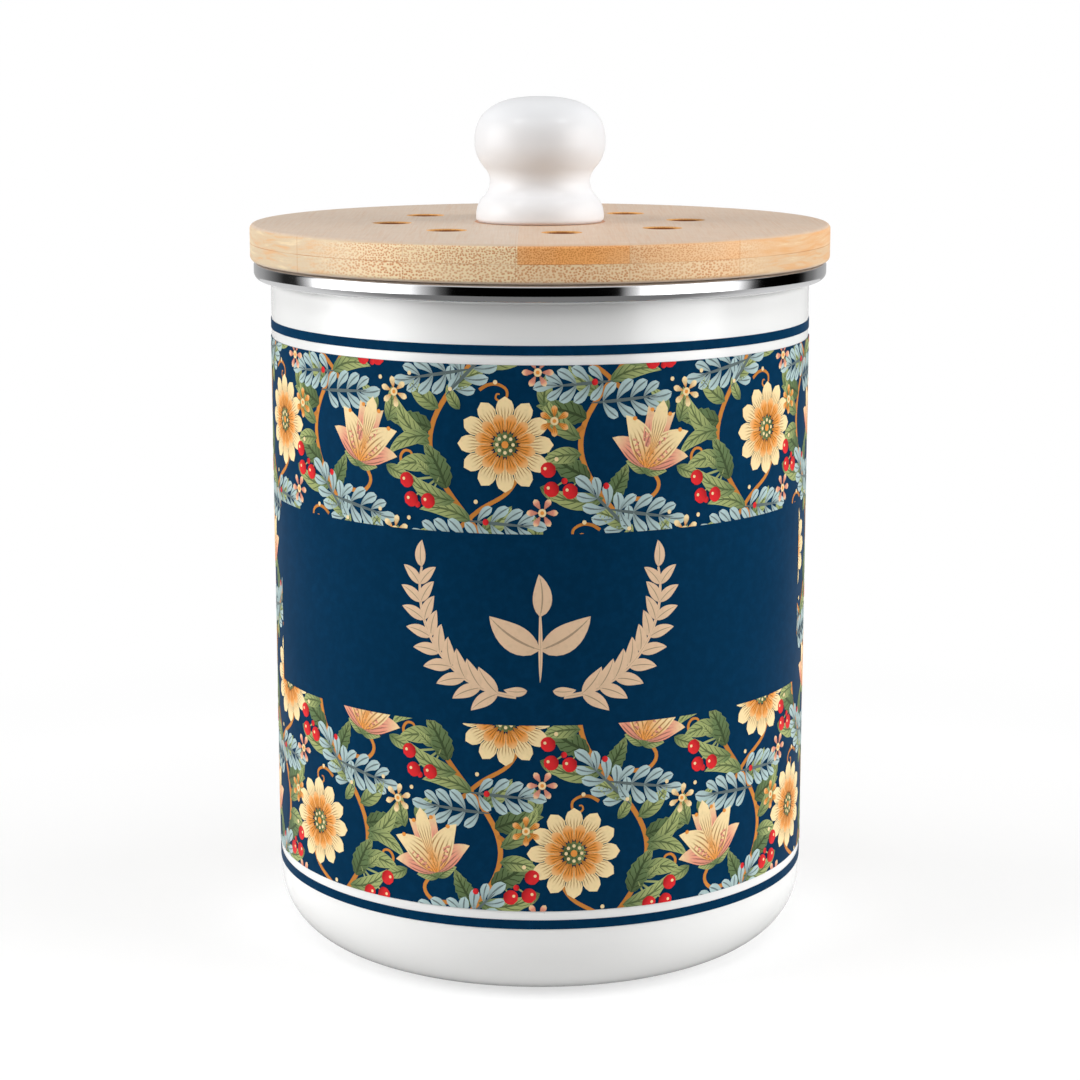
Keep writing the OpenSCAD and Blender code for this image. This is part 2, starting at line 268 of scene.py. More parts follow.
def lathe(name, outline, steps=LATHE_STEPS, smooth=SMOOTH_ANGLE):
    """Draws half a section as a chain of edges and spins it round the upright axis."""
    clear_selection()
    bpy.ops.mesh.primitive_plane_add(size=MM)
    piece = bpy.context.object
    piece.name = name
    with editing():
        bpy.ops.mesh.merge(type="CENTER")
        r, z = outline[0]
        bpy.ops.transform.translate(value=(r, 0, z))
        for next_r, next_z in outline[1:]:
            step = (next_r - r, 0, next_z - z)
            bpy.ops.mesh.extrude_region_move(TRANSFORM_OT_translate={"value": step})
            r, z = next_r, next_z
        bpy.ops.mesh.select_all(action="SELECT")
        bpy.ops.mesh.spin(steps=steps, angle=FULL_TURN, center=(0, 0, 0), axis=(0, 0, 1))
        bpy.ops.mesh.select_all(action="SELECT")
        bpy.ops.mesh.remove_doubles(threshold=WELD * MM)
        bpy.ops.mesh.normals_make_consistent(inside=False)
    shade(piece, smooth)
    return piece


def shade(piece, degrees=SMOOTH_ANGLE):
    """Shades a piece smooth but for the edges that are sharper than this angle."""
    pick(piece)
    bpy.ops.object.shade_smooth_by_angle(angle=math.radians(degrees))


def apply_modifier(piece, kind, **settings):
    """Adds a modifier, sets it up and applies it."""
    pick(piece)
    modifier = piece.modifiers.new(kind.title(), kind)
    for key, value in settings.items():
        setattr(modifier, key, value)
    bpy.ops.object.modifier_apply(modifier=modifier.name)


def cut_plane(point, normal, clear_behind=False, clear_ahead=False):
    """Cuts the whole mesh in edit mode by a plane, and may clear one side."""
    bpy.ops.mesh.select_all(action="SELECT")
    bpy.ops.mesh.bisect(
        plane_co=point, plane_no=normal, clear_inner=clear_behind, clear_outer=clear_ahead
    )


def delete_faces(piece, test):
    """Deletes the faces whose centre passes the test."""
    with editing_some(piece, "FACE", lambda face: test(face.center)):
        bpy.ops.mesh.delete(type="FACE")


def rounded_copy(node, name, width):
    """Copies a node's mesh, merges its loose triangles and breaks its sharp edges."""
    flat_angle, sharp_angle, smooth_angle = 1, 40, 30
    piece = duplicate(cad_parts[node])
    piece.name = name
    piece.parent = None
    for key in list(piece.keys()):
        del piece[key]
    pick(piece)
    with editing():
        bpy.ops.mesh.select_all(action="SELECT")
        bpy.ops.mesh.customdata_custom_splitnormals_clear()
        bpy.ops.mesh.remove_doubles(threshold=WELD * MM)
        bpy.ops.mesh.dissolve_limited(angle_limit=math.radians(flat_angle))
    apply_modifier(
        piece,
        "BEVEL",
        width=width,
        segments=2,
        limit_method="ANGLE",
        angle_limit=math.radians(sharp_angle),
    )
    shade(piece, smooth_angle)
    return piece


def finish_piece(piece, material, body, slot, *nodes):
    """Gives a piece its material and its body, and hides the nodes that it stands for. The slot is not
    used.
    """
    piece.data.materials.clear()
    piece.data.materials.append(material)
    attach(piece, body)
    if nodes:
        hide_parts(*nodes)
    return piece


# ---- Material helpers ----


class Recipe:
    """The nodes of one material or world, built from short calls."""

    def __init__(self, name, store=None):
        self.material = (bpy.data.materials if store is None else store).new(name)
        self.material.use_nodes = True
        self.tree = self.material.node_tree
        self.shader = self.tree.nodes.get("Principled BSDF")

    def wire(self, socket, value):
        """Links a socket to another one, or gives it a value."""
        if isinstance(value, bpy.types.NodeSocket):
            self.tree.links.new(value, socket)
            return
        if socket.type == "RGBA":
            value = (*value[:3], 1)
        socket.default_value = value

    def node(self, kind, *values, **settings):
        """Adds a node, sets it up and fills its first inputs in their order."""
        made = self.tree.nodes.new("ShaderNode" + kind)
        for key, value in settings.items():
            setattr(made, key, value)
        for socket, value in zip(made.inputs, values):
            self.wire(socket, value)
        return made

    def fill(self, node, **values):
        """Fills those inputs of a node that are named here, with underscores for spaces."""
        for key, value in values.items():
            self.wire(node.inputs[key.replace("_", " ")], value)
        return node

    def set(self, **values):
        self.fill(self.shader, **values)

    def maths(self, operation, *values, clamp=False):
        return self.node("Math", *values, operation=operation, use_clamp=clamp).outputs[0]

    def plus(self, first, second):
        return self.maths("ADD", first, second)

    def minus(self, first, second):
        return self.maths("SUBTRACT", first, second)

    def times(self, first, second):
        return self.maths("MULTIPLY", first, second)

    def over(self, first, second):
        return self.maths("DIVIDE", first, second)

    def apart(self, first, second):
        """How far two values are from each other."""
        return self.maths("ABSOLUTE", self.minus(first, second))

    def radius(self, x, y):
        """How far a place is from the middle."""
        return self.maths("SQRT", self.plus(self.maths("POWER", x, 2), self.maths("POWER", y, 2)))

    def off_half(self, value):
        """How far a value is from the half between two whole numbers."""
        return self.apart(self.maths("FRACT", value), 0.5)

    def place(self, x=1, y=1, z=1):
        """Object coordinates, stretched along each axis."""
        source = self.node("TexCoord").outputs["Object"]
        return self.fill(self.node("Mapping"), Vector=source, Scale=(x, y, z)).outputs[0]

    def split(self, vector):
        return tuple(self.node("SeparateXYZ", vector).outputs)

    def join(self, x, y, z):
        return self.node("CombineXYZ", x, y, z).outputs[0]

    def noise(self, vector, scale=1.0, detail=3.0, roughness=0.5):
        made = self.node("TexNoise")
        self.fill(made, Vector=vector, Scale=scale, Detail=detail, Roughness=roughness)
        return made.outputs[0]

    def cells(self, vector, scale=1.0, randomness=1.0, dimensions="3D"):
        """Distance to the nearest cell's middle, and a random value for each cell."""
        made = self.node("TexVoronoi", voronoi_dimensions=dimensions)
        self.fill(made, Vector=vector, Scale=scale, Randomness=randomness)
        return made.outputs["Distance"], made.outputs["Color"]

    def ramp(self, value, stops, steps=False):
        """A grey for each place from 0 to 1, read off a list of places and greys."""
        made = self.node("ValToRGB", value)
        ramp = made.color_ramp
        ramp.interpolation = "CONSTANT" if steps else "LINEAR"
        for place, _ in stops[1:-1]:
            ramp.elements.new(place)
        ramp.elements[0].position = stops[0][0]
        ramp.elements[-1].position = stops[-1][0]
        for element, (_, grey) in zip(ramp.elements, stops):
            element.color = (grey, grey, grey, 1)
        return made.outputs[0]

    def fade(self, value, low, high, at_low=0.0, at_high=1.0):
        """Runs smoothly from one value to another between two places."""
        numbers = (value, low, high, at_low, at_high)
        return self.node("MapRange", *numbers, interpolation_type="SMOOTHSTEP").outputs[0]

    def blend(self, factor, first, second):
        """Runs from the first colour to the second as the factor runs from 0 to 1."""
        made = self.fill(self.node("Mix", data_type="RGBA"), Factor=factor)
        colours = [socket for socket in made.inputs if socket.type == "RGBA"]
        for socket, value in zip(colours, (first, second)):
            self.wire(socket, value)
        return [socket for socket in made.outputs if socket.type == "RGBA"][0]

    def bump(self, height, distance, strength):
        made = self.fill(self.node("Bump"), Strength=strength, Distance=distance, Height=height)
        self.set(Normal=made.outputs[0])

    def surface(self, kind, **values):
        """Another shader, such as Emission or a world's Background."""
        return self.fill(self.node(kind), **values).outputs[0]

    def either(self, factor, first, second):
        """The first shader where the factor is 0 and the second where it is 1."""
        return self.node("MixShader", factor, first, second).outputs[0]


def shift(tint, share):
    """The same colour, lighter or darker."""
    return tuple(min(1.0, c * share) for c in tint)


def enamel_material(tint):
    """Fired enamel: glossy, with a faint orange peel and a few pinholes, worn grey where it stands."""
    pinhole_grey, worn_grey = (0.25, 0.25, 0.26), (0.35, 0.34, 0.33)
    worn_height, peel_height = 0.35 * MM, 0.02 * MM
    paint = Recipe("white_enamel")
    spots = paint.place()
    peel = paint.noise(spots, scale=260, detail=2)
    cloud = paint.noise(spots, scale=22)
    distance, _ = paint.cells(spots, scale=140)
    pinhole = paint.fade(distance, 0.02, 0.05, 1, 0)
    _, _, z = paint.split(spots)
    worn = paint.times(paint.fade(z, 0, worn_height, 1, 0), cloud)
    tone = paint.blend(paint.fade(cloud, 0.3, 0.75), tint, shift(tint, 0.975))
    tone = paint.blend(paint.times(pinhole, 0.35), tone, pinhole_grey)
    tone = paint.blend(worn, tone, worn_grey)
    paint.set(Base_Color=tone, Roughness=paint.fade(cloud, 0.2, 0.8, 0.10, 0.16))
    paint.set(IOR=1.52, Coat_Weight=0.35, Coat_Roughness=0.04)
    paint.bump(paint.minus(peel, pinhole), peel_height, strength=0.5)
    return paint.material


def steel_material(name, tint, roughness, brush):
    """Polished or plated steel with turning marks that run round it."""
    marks_per_metre, mark_depth = 9000, 0.003 * MM
    paint = Recipe(name)
    x, y, z = paint.split(paint.place())
    ring = paint.times(paint.radius(x, y), marks_per_metre)
    marks = paint.noise(paint.join(ring, 0, paint.times(z, marks_per_metre)), detail=2)
    smear = paint.noise(paint.place(), scale=90)
    rough = paint.plus(roughness, paint.times(marks, brush))
    rough = paint.plus(rough, paint.fade(smear, 0.5, 0.8, 0, 0.06))
    tone = paint.blend(smear, tint, shift(tint, 0.93))
    paint.set(Base_Color=tone, Metallic=1.0, Roughness=rough)
    paint.bump(marks, mark_depth, strength=brush * 2)
    return paint.material


def print_material(name, tint):
    """Fired transfer: a flat, nearly matte colour with faint unevenness of the ink."""
    paler, grain_height = tuple(c * 1.25 + 0.0005 for c in tint), 0.006 * MM
    paint = Recipe(name)
    spots = paint.place()
    mottle = paint.noise(spots, scale=420, detail=4, roughness=0.65)
    cloud = paint.noise(spots, scale=30)
    tone = paint.blend(paint.fade(mottle, 0.35, 0.75), tint, paler)
    tone = paint.blend(paint.fade(cloud, 0.3, 0.8, 0, 0.35), tone, shift(tint, 0.8))
    paint.set(Base_Color=tone, Roughness=paint.fade(cloud, 0.2, 0.8, 0.4, 0.5))
    paint.set(Specular_IOR_Level=0.02)
    paint.bump(mottle, grain_height, strength=0.4)
    return paint.material


def ink_material(name, tint, deep, light, veins=0.0, slant=1.6, rib=0.0, streaks=0.0, tip=0.0):
    """Ink of one motif: it runs from deep at the root to light at the tip, with veins or streaks
    cut into it. The piece's own map runs along a motif in U and across it in V."""
    paint = Recipe(name)
    along, across, _ = paint.split(paint.node("UVMap").outputs[0])
    side = paint.apart(paint.times(across, 2), 1)
    hand = paint.noise(paint.place(), scale=900)
    tone = paint.blend(paint.fade(along, 0.0, 0.55), deep, tint)
    tone = paint.blend(paint.fade(along, 0.55, 1.0, 0, tip), tone, light)
    line = 0.0
    if rib:
        line = paint.fade(side, rib * 0.6, rib, 1, 0)
    if veins:
        slope = paint.minus(paint.times(along, veins), paint.times(side, slant))
        ridge = paint.fade(paint.off_half(slope), 0.06, 0.14, 1, 0)
        line = paint.maths("MAXIMUM", line, paint.times(ridge, paint.fade(side, 0.8, 0.95, 1, 0)))
    if streaks:
        stripe = paint.fade(paint.off_half(paint.times(across, streaks)), 0.1, 0.2, 1, 0)
        line = paint.maths("MAXIMUM", line, paint.times(stripe, paint.fade(along, 0.5, 0.75, 1, 0)))
    if rib or veins or streaks:
        tone = paint.blend(paint.times(line, 0.85), tone, shift(deep, 0.45))
    tone = paint.blend(paint.fade(hand, 0.45, 0.8, 0, 0.3), tone, shift(tint, 0.7))
    paint.set(Base_Color=tone, Roughness=paint.fade(hand, 0.2, 0.8, 0.4, 0.5))
    paint.set(Specular_IOR_Level=0.06)
    return paint.material


class Bamboo(Recipe):
    """Laminated bamboo whose fibres run front to back, with strips that differ in tone."""

    def __init__(self, name, board, tones):
        super().__init__(name)
        self.board = board
        self.x, self.y, self.z = self.split(self.place())
        _, facing_y, facing_z = self.split(self.node("NewGeometry").outputs["Normal"])
        self.end_grain = self.fade(self.maths("ABSOLUTE", facing_y), 0.55, 0.9)
        self.face = self.fade(self.maths("ABSOLUTE", facing_z), 0.45, 0.8)
        self.tan, self.off_joint = self.strips(tones)
        self.patch = self.noise(self.place(110, 4, 260), detail=2)
        self.fine = self.noise(self.stretched(2400, 45, 2400), detail=3, roughness=0.6)

    def stretched(self, x, y, z, bow=0.0):
        """The place in the board, stretched along each axis and bowed up and down."""
        up = self.plus(self.times(self.z, z), bow)
        return self.join(self.times(self.x, x), self.times(self.y, y), up)

    def strips(self, tones):
        """How dark the strip is, and how far away its nearer joint is."""
        width, count = self.board.strip_width, len(tones)
        start = self.board.strip_start - count / 2 * width
        across = self.over(self.minus(self.x, start), width)
        stops = [(i / count, tone) for i, tone in enumerate(tones)] + [(1.0, tones[-1])]
        inside = self.maths("FRACT", across)
        nearer = self.maths("MINIMUM", inside, self.minus(1, inside))
        return self.ramp(self.over(across, count), stops, steps=True), self.times(nearer, width)

    def bundles(self, bundle):
        """The cut ends of the fibre bundles: cells that lie closer in the darker strips."""
        wander = self.noise(self.place(160, 6, 160), detail=2)
        spread = self.fade(self.tan, 0, 1, 1.0, 0.85)
        wide, high = self.times(spread, bundle), self.times(spread, 0.85 * bundle)
        x, z = self.plus(self.over(self.x, wide), wander), self.plus(self.over(self.z, high), wander)
        distance, chance = self.cells(self.join(x, z, 0), randomness=0.85, dimensions="2D")
        dot = self.times(self.fade(distance, 0.22, 0.5, 1, 0), self.fade(self.patch, 0.3, 0.6, 0.65, 1))
        return self.times(dot, self.fade(chance, 0, 1, 0.7, 1))

    def edge(self, dot):
        """Streaks where the edge runs along the fibres, and dots where it cuts across them."""
        board, tan, end_grain = self.board, self.tan, self.end_grain
        broad = self.noise(self.place(70, 3, 70))
        base = self.blend(tan, board.pale, board.tan)
        base = self.blend(self.fade(broad, 0.35, 0.7, 0, 0.3), base, shift(board.pale, 1.08))
        bow = self.times(self.noise(self.place(30, 30, 60), detail=2), 5)
        streak = self.noise(self.stretched(180, 30, 900, bow), roughness=0.55)
        along = self.blend(self.fade(streak, 0.45, 0.7, 0, 0.5), base, shift(board.tan, 0.8))
        along = self.blend(self.fade(streak, 0.28, 0.45, 0.6, 0), along, shift(board.gap, 0.9))
        ground = self.blend(self.times(self.fade(tan, 0, 1, 0.95, 0.1), end_grain), base, board.gap)
        strength = self.times(self.fade(tan, 0, 1, 0.85, 0.75), self.fade(end_grain, 0, 1, 0.15, 1))
        dotted = self.blend(self.times(dot, strength), ground, board.fibre)
        return self.blend(end_grain, along, dotted)

    def sanded(self):
        """The sanded faces, greyer and quieter than the edge."""
        board = self.board
        fleck = self.noise(self.place(1300, 40, 1300), detail=2)
        cloud = self.noise(self.place(220, 160, 220), detail=4, roughness=0.6)
        tone = self.blend(self.fade(self.fine, 0.3, 0.75, 0, 0.1), board.sanded, shift(board.tan, 0.75))
        tone = self.blend(self.fade(fleck, 0.54, 0.66, 0, 0.16), tone, shift(board.tan, 0.6))
        tone = self.blend(self.fade(cloud, 0.38, 0.66, 0, 0.3), tone, shift(board.sanded, 0.86))
        return self.blend(self.times(self.tan, 0.13), tone, board.tan)

    def joints(self, tone, glue_at):
        """Fine joints between the strips, and the glue line between the plies."""
        joint_edges, glue_edges = (0.02 * MM, 0.16 * MM), (0.03 * MM, 0.15 * MM)
        seam = self.fade(self.off_joint, *joint_edges, self.fade(self.face, 0, 1, 0.35, 0.15), 0)
        glued = self.fade(self.patch, 0.3, 0.6, 0.2, 0.7)
        glue = self.fade(self.apart(self.z, glue_at), *glue_edges, glued, 0)
        return self.blend(self.maths("MAXIMUM", seam, glue), tone, shift(self.board.fibre, 0.8))

    def painted_foot_shadow(self, tone, foot):
        """A dark line of painted shadow round the knob's foot, where it meets the board."""
        off_foot = self.apart(self.radius(self.x, self.y), foot)
        # Painted shadow: the board is darkened in a thin ring on each side of the foot's edge.
        foot_shadow = self.fade(off_foot, 0.15 * MM, 0.6 * MM, 0.85, 0)
        return self.blend(foot_shadow, tone, shift(self.board.fibre, 0.9))

    def scorched_and_shaded(self, tone):
        """The holes' walls, browned by the drill, and most where they cut across the fibres. Below the
        mouth they turn darker, which is painted shade deeper in the hole.
        """
        board = self.board
        scorch_and_shade_edges = (board.vent_radius + 0.15 * MM, board.vent_radius + 0.45 * MM)
        mouth_depth = 0.45 * MM
        radius = self.radius(self.x, self.y)
        pitch = FULL_TURN / board.vent_count
        turned = self.minus(self.maths("ARCTAN2", self.y, self.x), FRONT + board.turn)
        holes = self.over(turned, pitch)
        fold = self.times(self.minus(holes, self.maths("ROUND", holes)), pitch)
        out = self.minus(self.times(radius, self.maths("COSINE", fold)), board.vent_circle)
        aside = self.times(radius, self.maths("SINE", fold))
        scorch_and_shade = self.fade(self.radius(out, aside), *scorch_and_shade_edges, 0.95, 0)
        # Painted shade: the walls darken from the mouth down, deeper in the hole.
        depth = self.fade(self.minus(top("lid_upper_ply"), self.z), 0, mouth_depth, 0.3, 1)
        char_and_shade = self.times(depth, self.fade(self.end_grain, 0, 1, 0.15, 1))
        char_and_shade = self.maths("ADD", char_and_shade, self.fade(self.fine, 0.35, 0.65, -0.2, 0.2), clamp=True)
        return self.blend(scorch_and_shade, tone, self.blend(char_and_shade, board.browned, board.charred_and_shaded))


def bamboo_material(name, board, grain, glue_at, foot=0.0):
    """Laminated bamboo with this grain, glued at this height, and maybe with a painted shadow round a
    foot.
    """
    pore_depth = 0.02 * MM
    tones, bundle = grain
    paint = Bamboo(name, board, tones)
    dot = paint.bundles(bundle)
    tone = paint.blend(paint.face, paint.edge(dot), paint.sanded())
    tone = paint.joints(tone, glue_at)
    # The painted shadow round the knob's foot
    if foot:
        tone = paint.painted_foot_shadow(tone, foot)
    paint.set(Base_Color=paint.scorched_and_shaded(tone), Roughness=paint.fade(paint.fine, 0.2, 0.8, 0.42, 0.56))
    paint.set(IOR=1.45, Coat_Weight=0.08, Coat_Roughness=0.25)
    paint.bump(paint.minus(paint.fine, paint.times(dot, 0.6)), pore_depth, strength=0.4)
    return paint.material


def glaze_material(tint):
    """Satin glaze under a thin gloss, with a very soft wave."""
    wave_height = 0.05 * MM
    paint = Recipe("white_glaze")
    wave = paint.noise(paint.place(), scale=70, detail=2)
    fine = paint.noise(paint.place(), scale=900, detail=2)
    tone = paint.blend(paint.fade(wave, 0.3, 0.8), tint, shift(tint, 0.98))
    paint.set(Base_Color=tone, Roughness=paint.fade(fine, 0.3, 0.7, 0.34, 0.38))
    paint.set(IOR=1.5, Specular_IOR_Level=0.1, Coat_Weight=0.35, Coat_Roughness=0.2)
    paint.bump(wave, wave_height, strength=0.3)
    return paint.material


def silicone_material():
    """Matte translucent silicone with a little dust on it."""
    clean, dusty = (0.80, 0.80, 0.77), (0.68, 0.67, 0.64)
    light_depth, grain_height = 2 * MM, 0.01 * MM
    paint = Recipe("seal_silicone")
    dust = paint.noise(paint.place(), scale=700, detail=4)
    paint.set(Base_Color=paint.blend(paint.fade(dust, 0.5, 0.8), clean, dusty))
    paint.set(Roughness=paint.fade(dust, 0.2, 0.8, 0.42, 0.6), IOR=1.41)
    paint.set(Subsurface_Weight=0.3, Subsurface_Radius=(1.0, 1.0, 0.9), Subsurface_Scale=light_depth)
    paint.bump(dust, grain_height, strength=0.4)
    return paint.material


def moulding_material():
    """Moulded plastic with a fine grain and faint flow marks."""
    pale, grey, grain_height = (0.70, 0.71, 0.70), (0.64, 0.65, 0.64), 0.03 * MM
    paint = Recipe("cover_plastic")
    grain = paint.noise(paint.place(), scale=2200)
    flow = paint.noise(paint.place(), scale=40, detail=2)
    paint.set(Base_Color=paint.blend(flow, pale, grey))
    paint.set(Roughness=paint.fade(grain, 0.2, 0.8, 0.45, 0.62), IOR=1.49)
    paint.bump(grain, grain_height, strength=0.5)
    return paint.material


def felt_material():
    """Needled carbon felt: matted black fibres with a grey bloom."""
    black, bloom, fibre_height = (0.012, 0.012, 0.013), (0.075, 0.075, 0.08), 0.25 * MM
    paint = Recipe("carbon_felt")
    spots = paint.place()
    mat = paint.noise(spots, scale=1500, detail=6, roughness=0.75)
    tuft = paint.noise(spots, scale=260)
    tone = paint.blend(paint.fade(mat, 0.4, 0.75), black, bloom)
    paint.set(Base_Color=tone, Roughness=paint.fade(tuft, 0.2, 0.8, 0.85, 0.97))
    paint.set(Sheen_Weight=0.35, Sheen_Roughness=0.6)
    paint.bump(paint.plus(mat, tuft), fibre_height, strength=0.9)
    return paint.material


# ---- The can ----


def can_radius(scene):
    return reach("lower_line") - scene.caddy_print.film - scene.caddy_print.bond


def pressed_step(inner, outer, low, high, steps=10):
    """A smooth step in the base, from its raised middle down to the ring it stands on."""
    shares = [i / steps for i in range(1, steps)]
    return [
        (inner + (outer - inner) * s, high + (low - high) * (0.5 - 0.5 * math.cos(math.pi * s)))
        for s in shares
    ]


def can_outline(scene):
    can = scene.caddy_can
    outside = can_radius(scene)
    bore = outside - can.wall
    corner_r = outside - can.corner_radius
    recess_r = corner_r - can.foot_width
    dome_r = recess_r - 2 * can.base_lift
    bend = can.bend_radius + can.wall
    hem = reach("can_body")
    land_z = top("can_body")
    mouth_z = land_z - bend
    hem_z = mouth_z - can.hem_length
    floor_z = can.base_lift + can.wall
    return [
        (0, can.base_lift),
        (dome_r, can.base_lift),
        *pressed_step(dome_r, recess_r, 0, can.base_lift),
        (recess_r, 0),
        (corner_r, 0),
        *arc(corner_r, can.corner_radius, can.corner_radius, -90, 0, 24)[1:],
        (outside, mouth_z - 3 * can.wall),
        *arc(bore + bend, mouth_z, can.bend_radius, 180, 90),
        *arc(hem - bend, mouth_z, can.bend_radius, 90, 0),
        (hem - can.wall, hem_z),
        (hem, hem_z),
        *arc(hem - bend, mouth_z, bend, 0, 90),
        *arc(bore + bend, mouth_z, bend, 90, 180),
        (bore, mouth_z - 3 * can.wall),
        *arc(corner_r, can.corner_radius, can.corner_radius - can.wall, 0, -90, 24),
        (recess_r, can.wall),
        *reversed(pressed_step(dome_r, recess_r, can.wall, floor_z)),
        (dome_r, floor_z),
        (0, floor_z),
    ]


class CADDY_OT_add_can(bpy.types.Operator):
    """Spins the enamelled can with its pressed base and rolled mouth"""

    bl_idname = "caddy.add_can"
    bl_label = "Enamelled Can"

    def execute(self, context):
        piece = lathe("enamelled_can", can_outline(context.scene))
        material = enamel_material(tuple(context.scene.caddy_can.enamel))
        finish_piece(piece, material, "can", "white_enamel", "can_body")
        return {"FINISHED"}


def band_outline(scene):
    band = scene.caddy_band
    bore = can_radius(scene) - scene.caddy_can.wall
    land_r = bore + scene.caddy_can.bend_radius + scene.caddy_can.wall
    curl_r = can_radius(scene) + band.curl_gap
    outside = reach("rim_band")
    low, high = bottom("rim_band"), top("rim_band")
    top_z = high - band.top_radius
    bottom_z = low + band.bottom_radius
    return [
        (land_r, high - band.sheet),
        (land_r, high),
        *arc(outside - band.top_radius, top_z, band.top_radius, 90, 0),
        *arc(outside - band.bottom_radius, bottom_z, band.bottom_radius, 0, -90, 14),
        (curl_r, low),
        (curl_r, low + band.sheet),
        *arc(outside - band.bottom_radius, bottom_z, band.bottom_radius - band.sheet, -90, 0),
        *arc(outside - band.top_radius, top_z, band.top_radius - band.sheet, 0, 90),
        (land_r, high - band.sheet),
    ]


class CADDY_OT_add_band(bpy.types.Operator):
    """Spins the polished steel band that is folded over the can's mouth"""

    bl_idname = "caddy.add_band"
    bl_label = "Rim Band"

    def execute(self, context):
        piece = lathe("steel_rim_band", band_outline(context.scene))
        tint = tuple(context.scene.caddy_band.steel)
        material = steel_material("polished_steel", tint, roughness=0.05, brush=0.06)
        finish_piece(piece, material, "can", "polished_steel", "rim_band")
        return {"FINISHED"}


# ---- The printed wrap ----


def film_sleeve(name, low, high, stops=()):
    """A sleeve of transfer film, spun as one sheet that gets its thickness later."""
    outside = reach("lower_line")
    return lathe(name, [(outside, z) for z in (low, *stops, high)])


def in_panel(scene):
    """A test that tells if a point of the sleeve lies on the label panel."""
    half = scene.caddy_print.panel_half_angle
    low, high = bottom("label_panel"), top("label_panel")

    def test(point):
        turned = math.atan2(point.x, -point.y)
        return abs(turned) < half and low < point.z < high

    return test


def cut_panel_sides(scene, piece):
    half = scene.caddy_print.panel_half_angle
    pick(piece)
    with editing():
        for side in (half, -half):
            cut_plane((0, 0, 0), (math.cos(side), math.sin(side), 0))


def thicken(piece, thickness):
    """Gives a sheet its thickness, inwards from its face."""
    apply_modifier(piece, "SOLIDIFY", thickness=thickness, offset=-1)


class CADDY_OT_add_print_ground(bpy.types.Operator):
    """Makes the navy sleeve under the pattern, the label panel and the two border lines"""

    bl_idname = "caddy.add_print_ground"
    bl_label = "Navy Transfer"

    def execute(self, context):
        scene = context.scene
        film = scene.caddy_print.film
        navy = tuple(scene.caddy_print.navy)
        ground_ink = print_material("pattern_ground", navy)
        panel_ink = print_material("panel_navy", navy)
        low, high = bottom("print_wrap"), top("print_wrap")
        stops = (bottom("label_panel"), top("label_panel"))
        inside = in_panel(scene)
        for name, node, cleared, ink, slot in (
            ("pattern_ground", "print_wrap", inside, ground_ink, "pattern_print"),
            ("label_ground", "label_panel", lambda p: not inside(p), panel_ink, "navy_print"),
            ("border_line_upper", "upper_line", None, panel_ink, "navy_print"),
            ("border_line_lower", "lower_line", None, panel_ink, "navy_print"),
        ):
            if cleared:
                piece = film_sleeve(name, low, high, stops)
                cut_panel_sides(scene, piece)
                delete_faces(piece, cleared)
            else:
                piece = film_sleeve(name, bottom(node), top(node))
            thicken(piece, film)
            shade(piece)
            finish_piece(piece, ink, "can", slot, node)
        return {"FINISHED"}


# ---- The pattern, laid out flat in millimetres ----

# The lowest ink's face stands proud of the transfer by this lift, and each later ink's by half of
# it more. The shapes of one ink lie in small steps, so that those that overlap seldom share a face.
INK_LIFT = 0.02
INK_THICKNESS = 0.03
STACK_STEP = 0.0015
STACK_LENGTH = 12
VINE_SWAY = 9.0
PATTERN_DROP = 2.2
ROWS = 4

# The knots that the stems run through
ROSETTE_STALK = ((1.5, -4), (-4, 1), (-11, 5.5), (-13.5, 11), (-10.4, 17))
CUP_STALK = ((-1, 33), (2.5, 38), (9, 38.5), (11.5, 42), (8.0, 47))
SCROLL = (
    (0, 0), (3, -0.6), (6, 0.2), (8, 2.6), (7.2, 5), (5.2, 5.5), (4.0, 4.2), (4.7, 3.0), (5.6, 3.3),
)

# Each leaf along the vine: how far up it grows, which way it points, its shape, size and side
VINE_LEAVES = (
    (3, 25, "long_leaf", 0.95, False),
    (6, 62, "toothed_leaf", 1.0, True),
    (12, -6, "leaf", 1.1, True),
    (17, 48, "long_leaf", 0.95, False),
    (19, -22, "long_leaf", 0.85, True),
    (21, 8, "toothed_leaf", 0.95, True),
    (26, 40, "leaf", 1.1, False),
    (31, 150, "leaf", 1.0, False),
    (38, 60, "toothed_leaf", 0.85, False),
    (39, 172, "long_leaf", 1.0, True),
    (44, 148, "toothed_leaf", 1.0, True),
    (50, 188, "leaf", 1.0, False),
    (54, 132, "long_leaf", 0.95, True),
    (59, 165, "toothed_leaf", 1.0, False),
    (65, 140, "leaf", 1.1, True),
    (68, 12, "long_leaf", 0.9, True),
)

# Each feathered leaf along the vine: how far up it grows, which way it points and its size
FEATHERED_LEAVES = ((30, 134, 0.95), (63, 4, 0.95), (36, -10, 0.95), (-2, 184, 0.9))
LOBE_PAIRS = 4
LOBE_SPACING = 3.7

# Leaves about the flowers, as x, y, direction and size, and the flowers and dots between them
FLOWER_LEAVES = (
    (-20, 27, 100, 0.9), (1, 26, 60, 0.7), (-19, 7, 215, 0.8), (17, 57, 80, 0.9),
    (14, 60, 130, 0.8), (16.5, 46, -20, 0.8),
)
SMALL_FLOWERS = ((-18.5, 35.5, 0, "coral"), (19, 29.5, 20, "cream"), (-15.5, 58.5, 30, "amber"))
PALE_DOTS = ((-3, 3), (14.5, 34.5), (-8, 33), (15, 68), (-15, 49), (3.5, 31))
RED_DOTS = ((12.5, 1.5), (-13, 43.5), (-2.5, 42), (-5.5, 68))


def bowed_spine(size, bend, columns):
    """Points along an arc of this length from the origin, which turns by bend degrees."""
    step = size / columns
    heading = math.radians(-bend / 2)
    turn = math.radians(bend) / columns
    points = [(0.0, 0.0)]
    for _ in range(columns):
        x, y = points[-1]
        heading += turn
        points.append((x + step * math.cos(heading), y + step * math.sin(heading)))
    return points


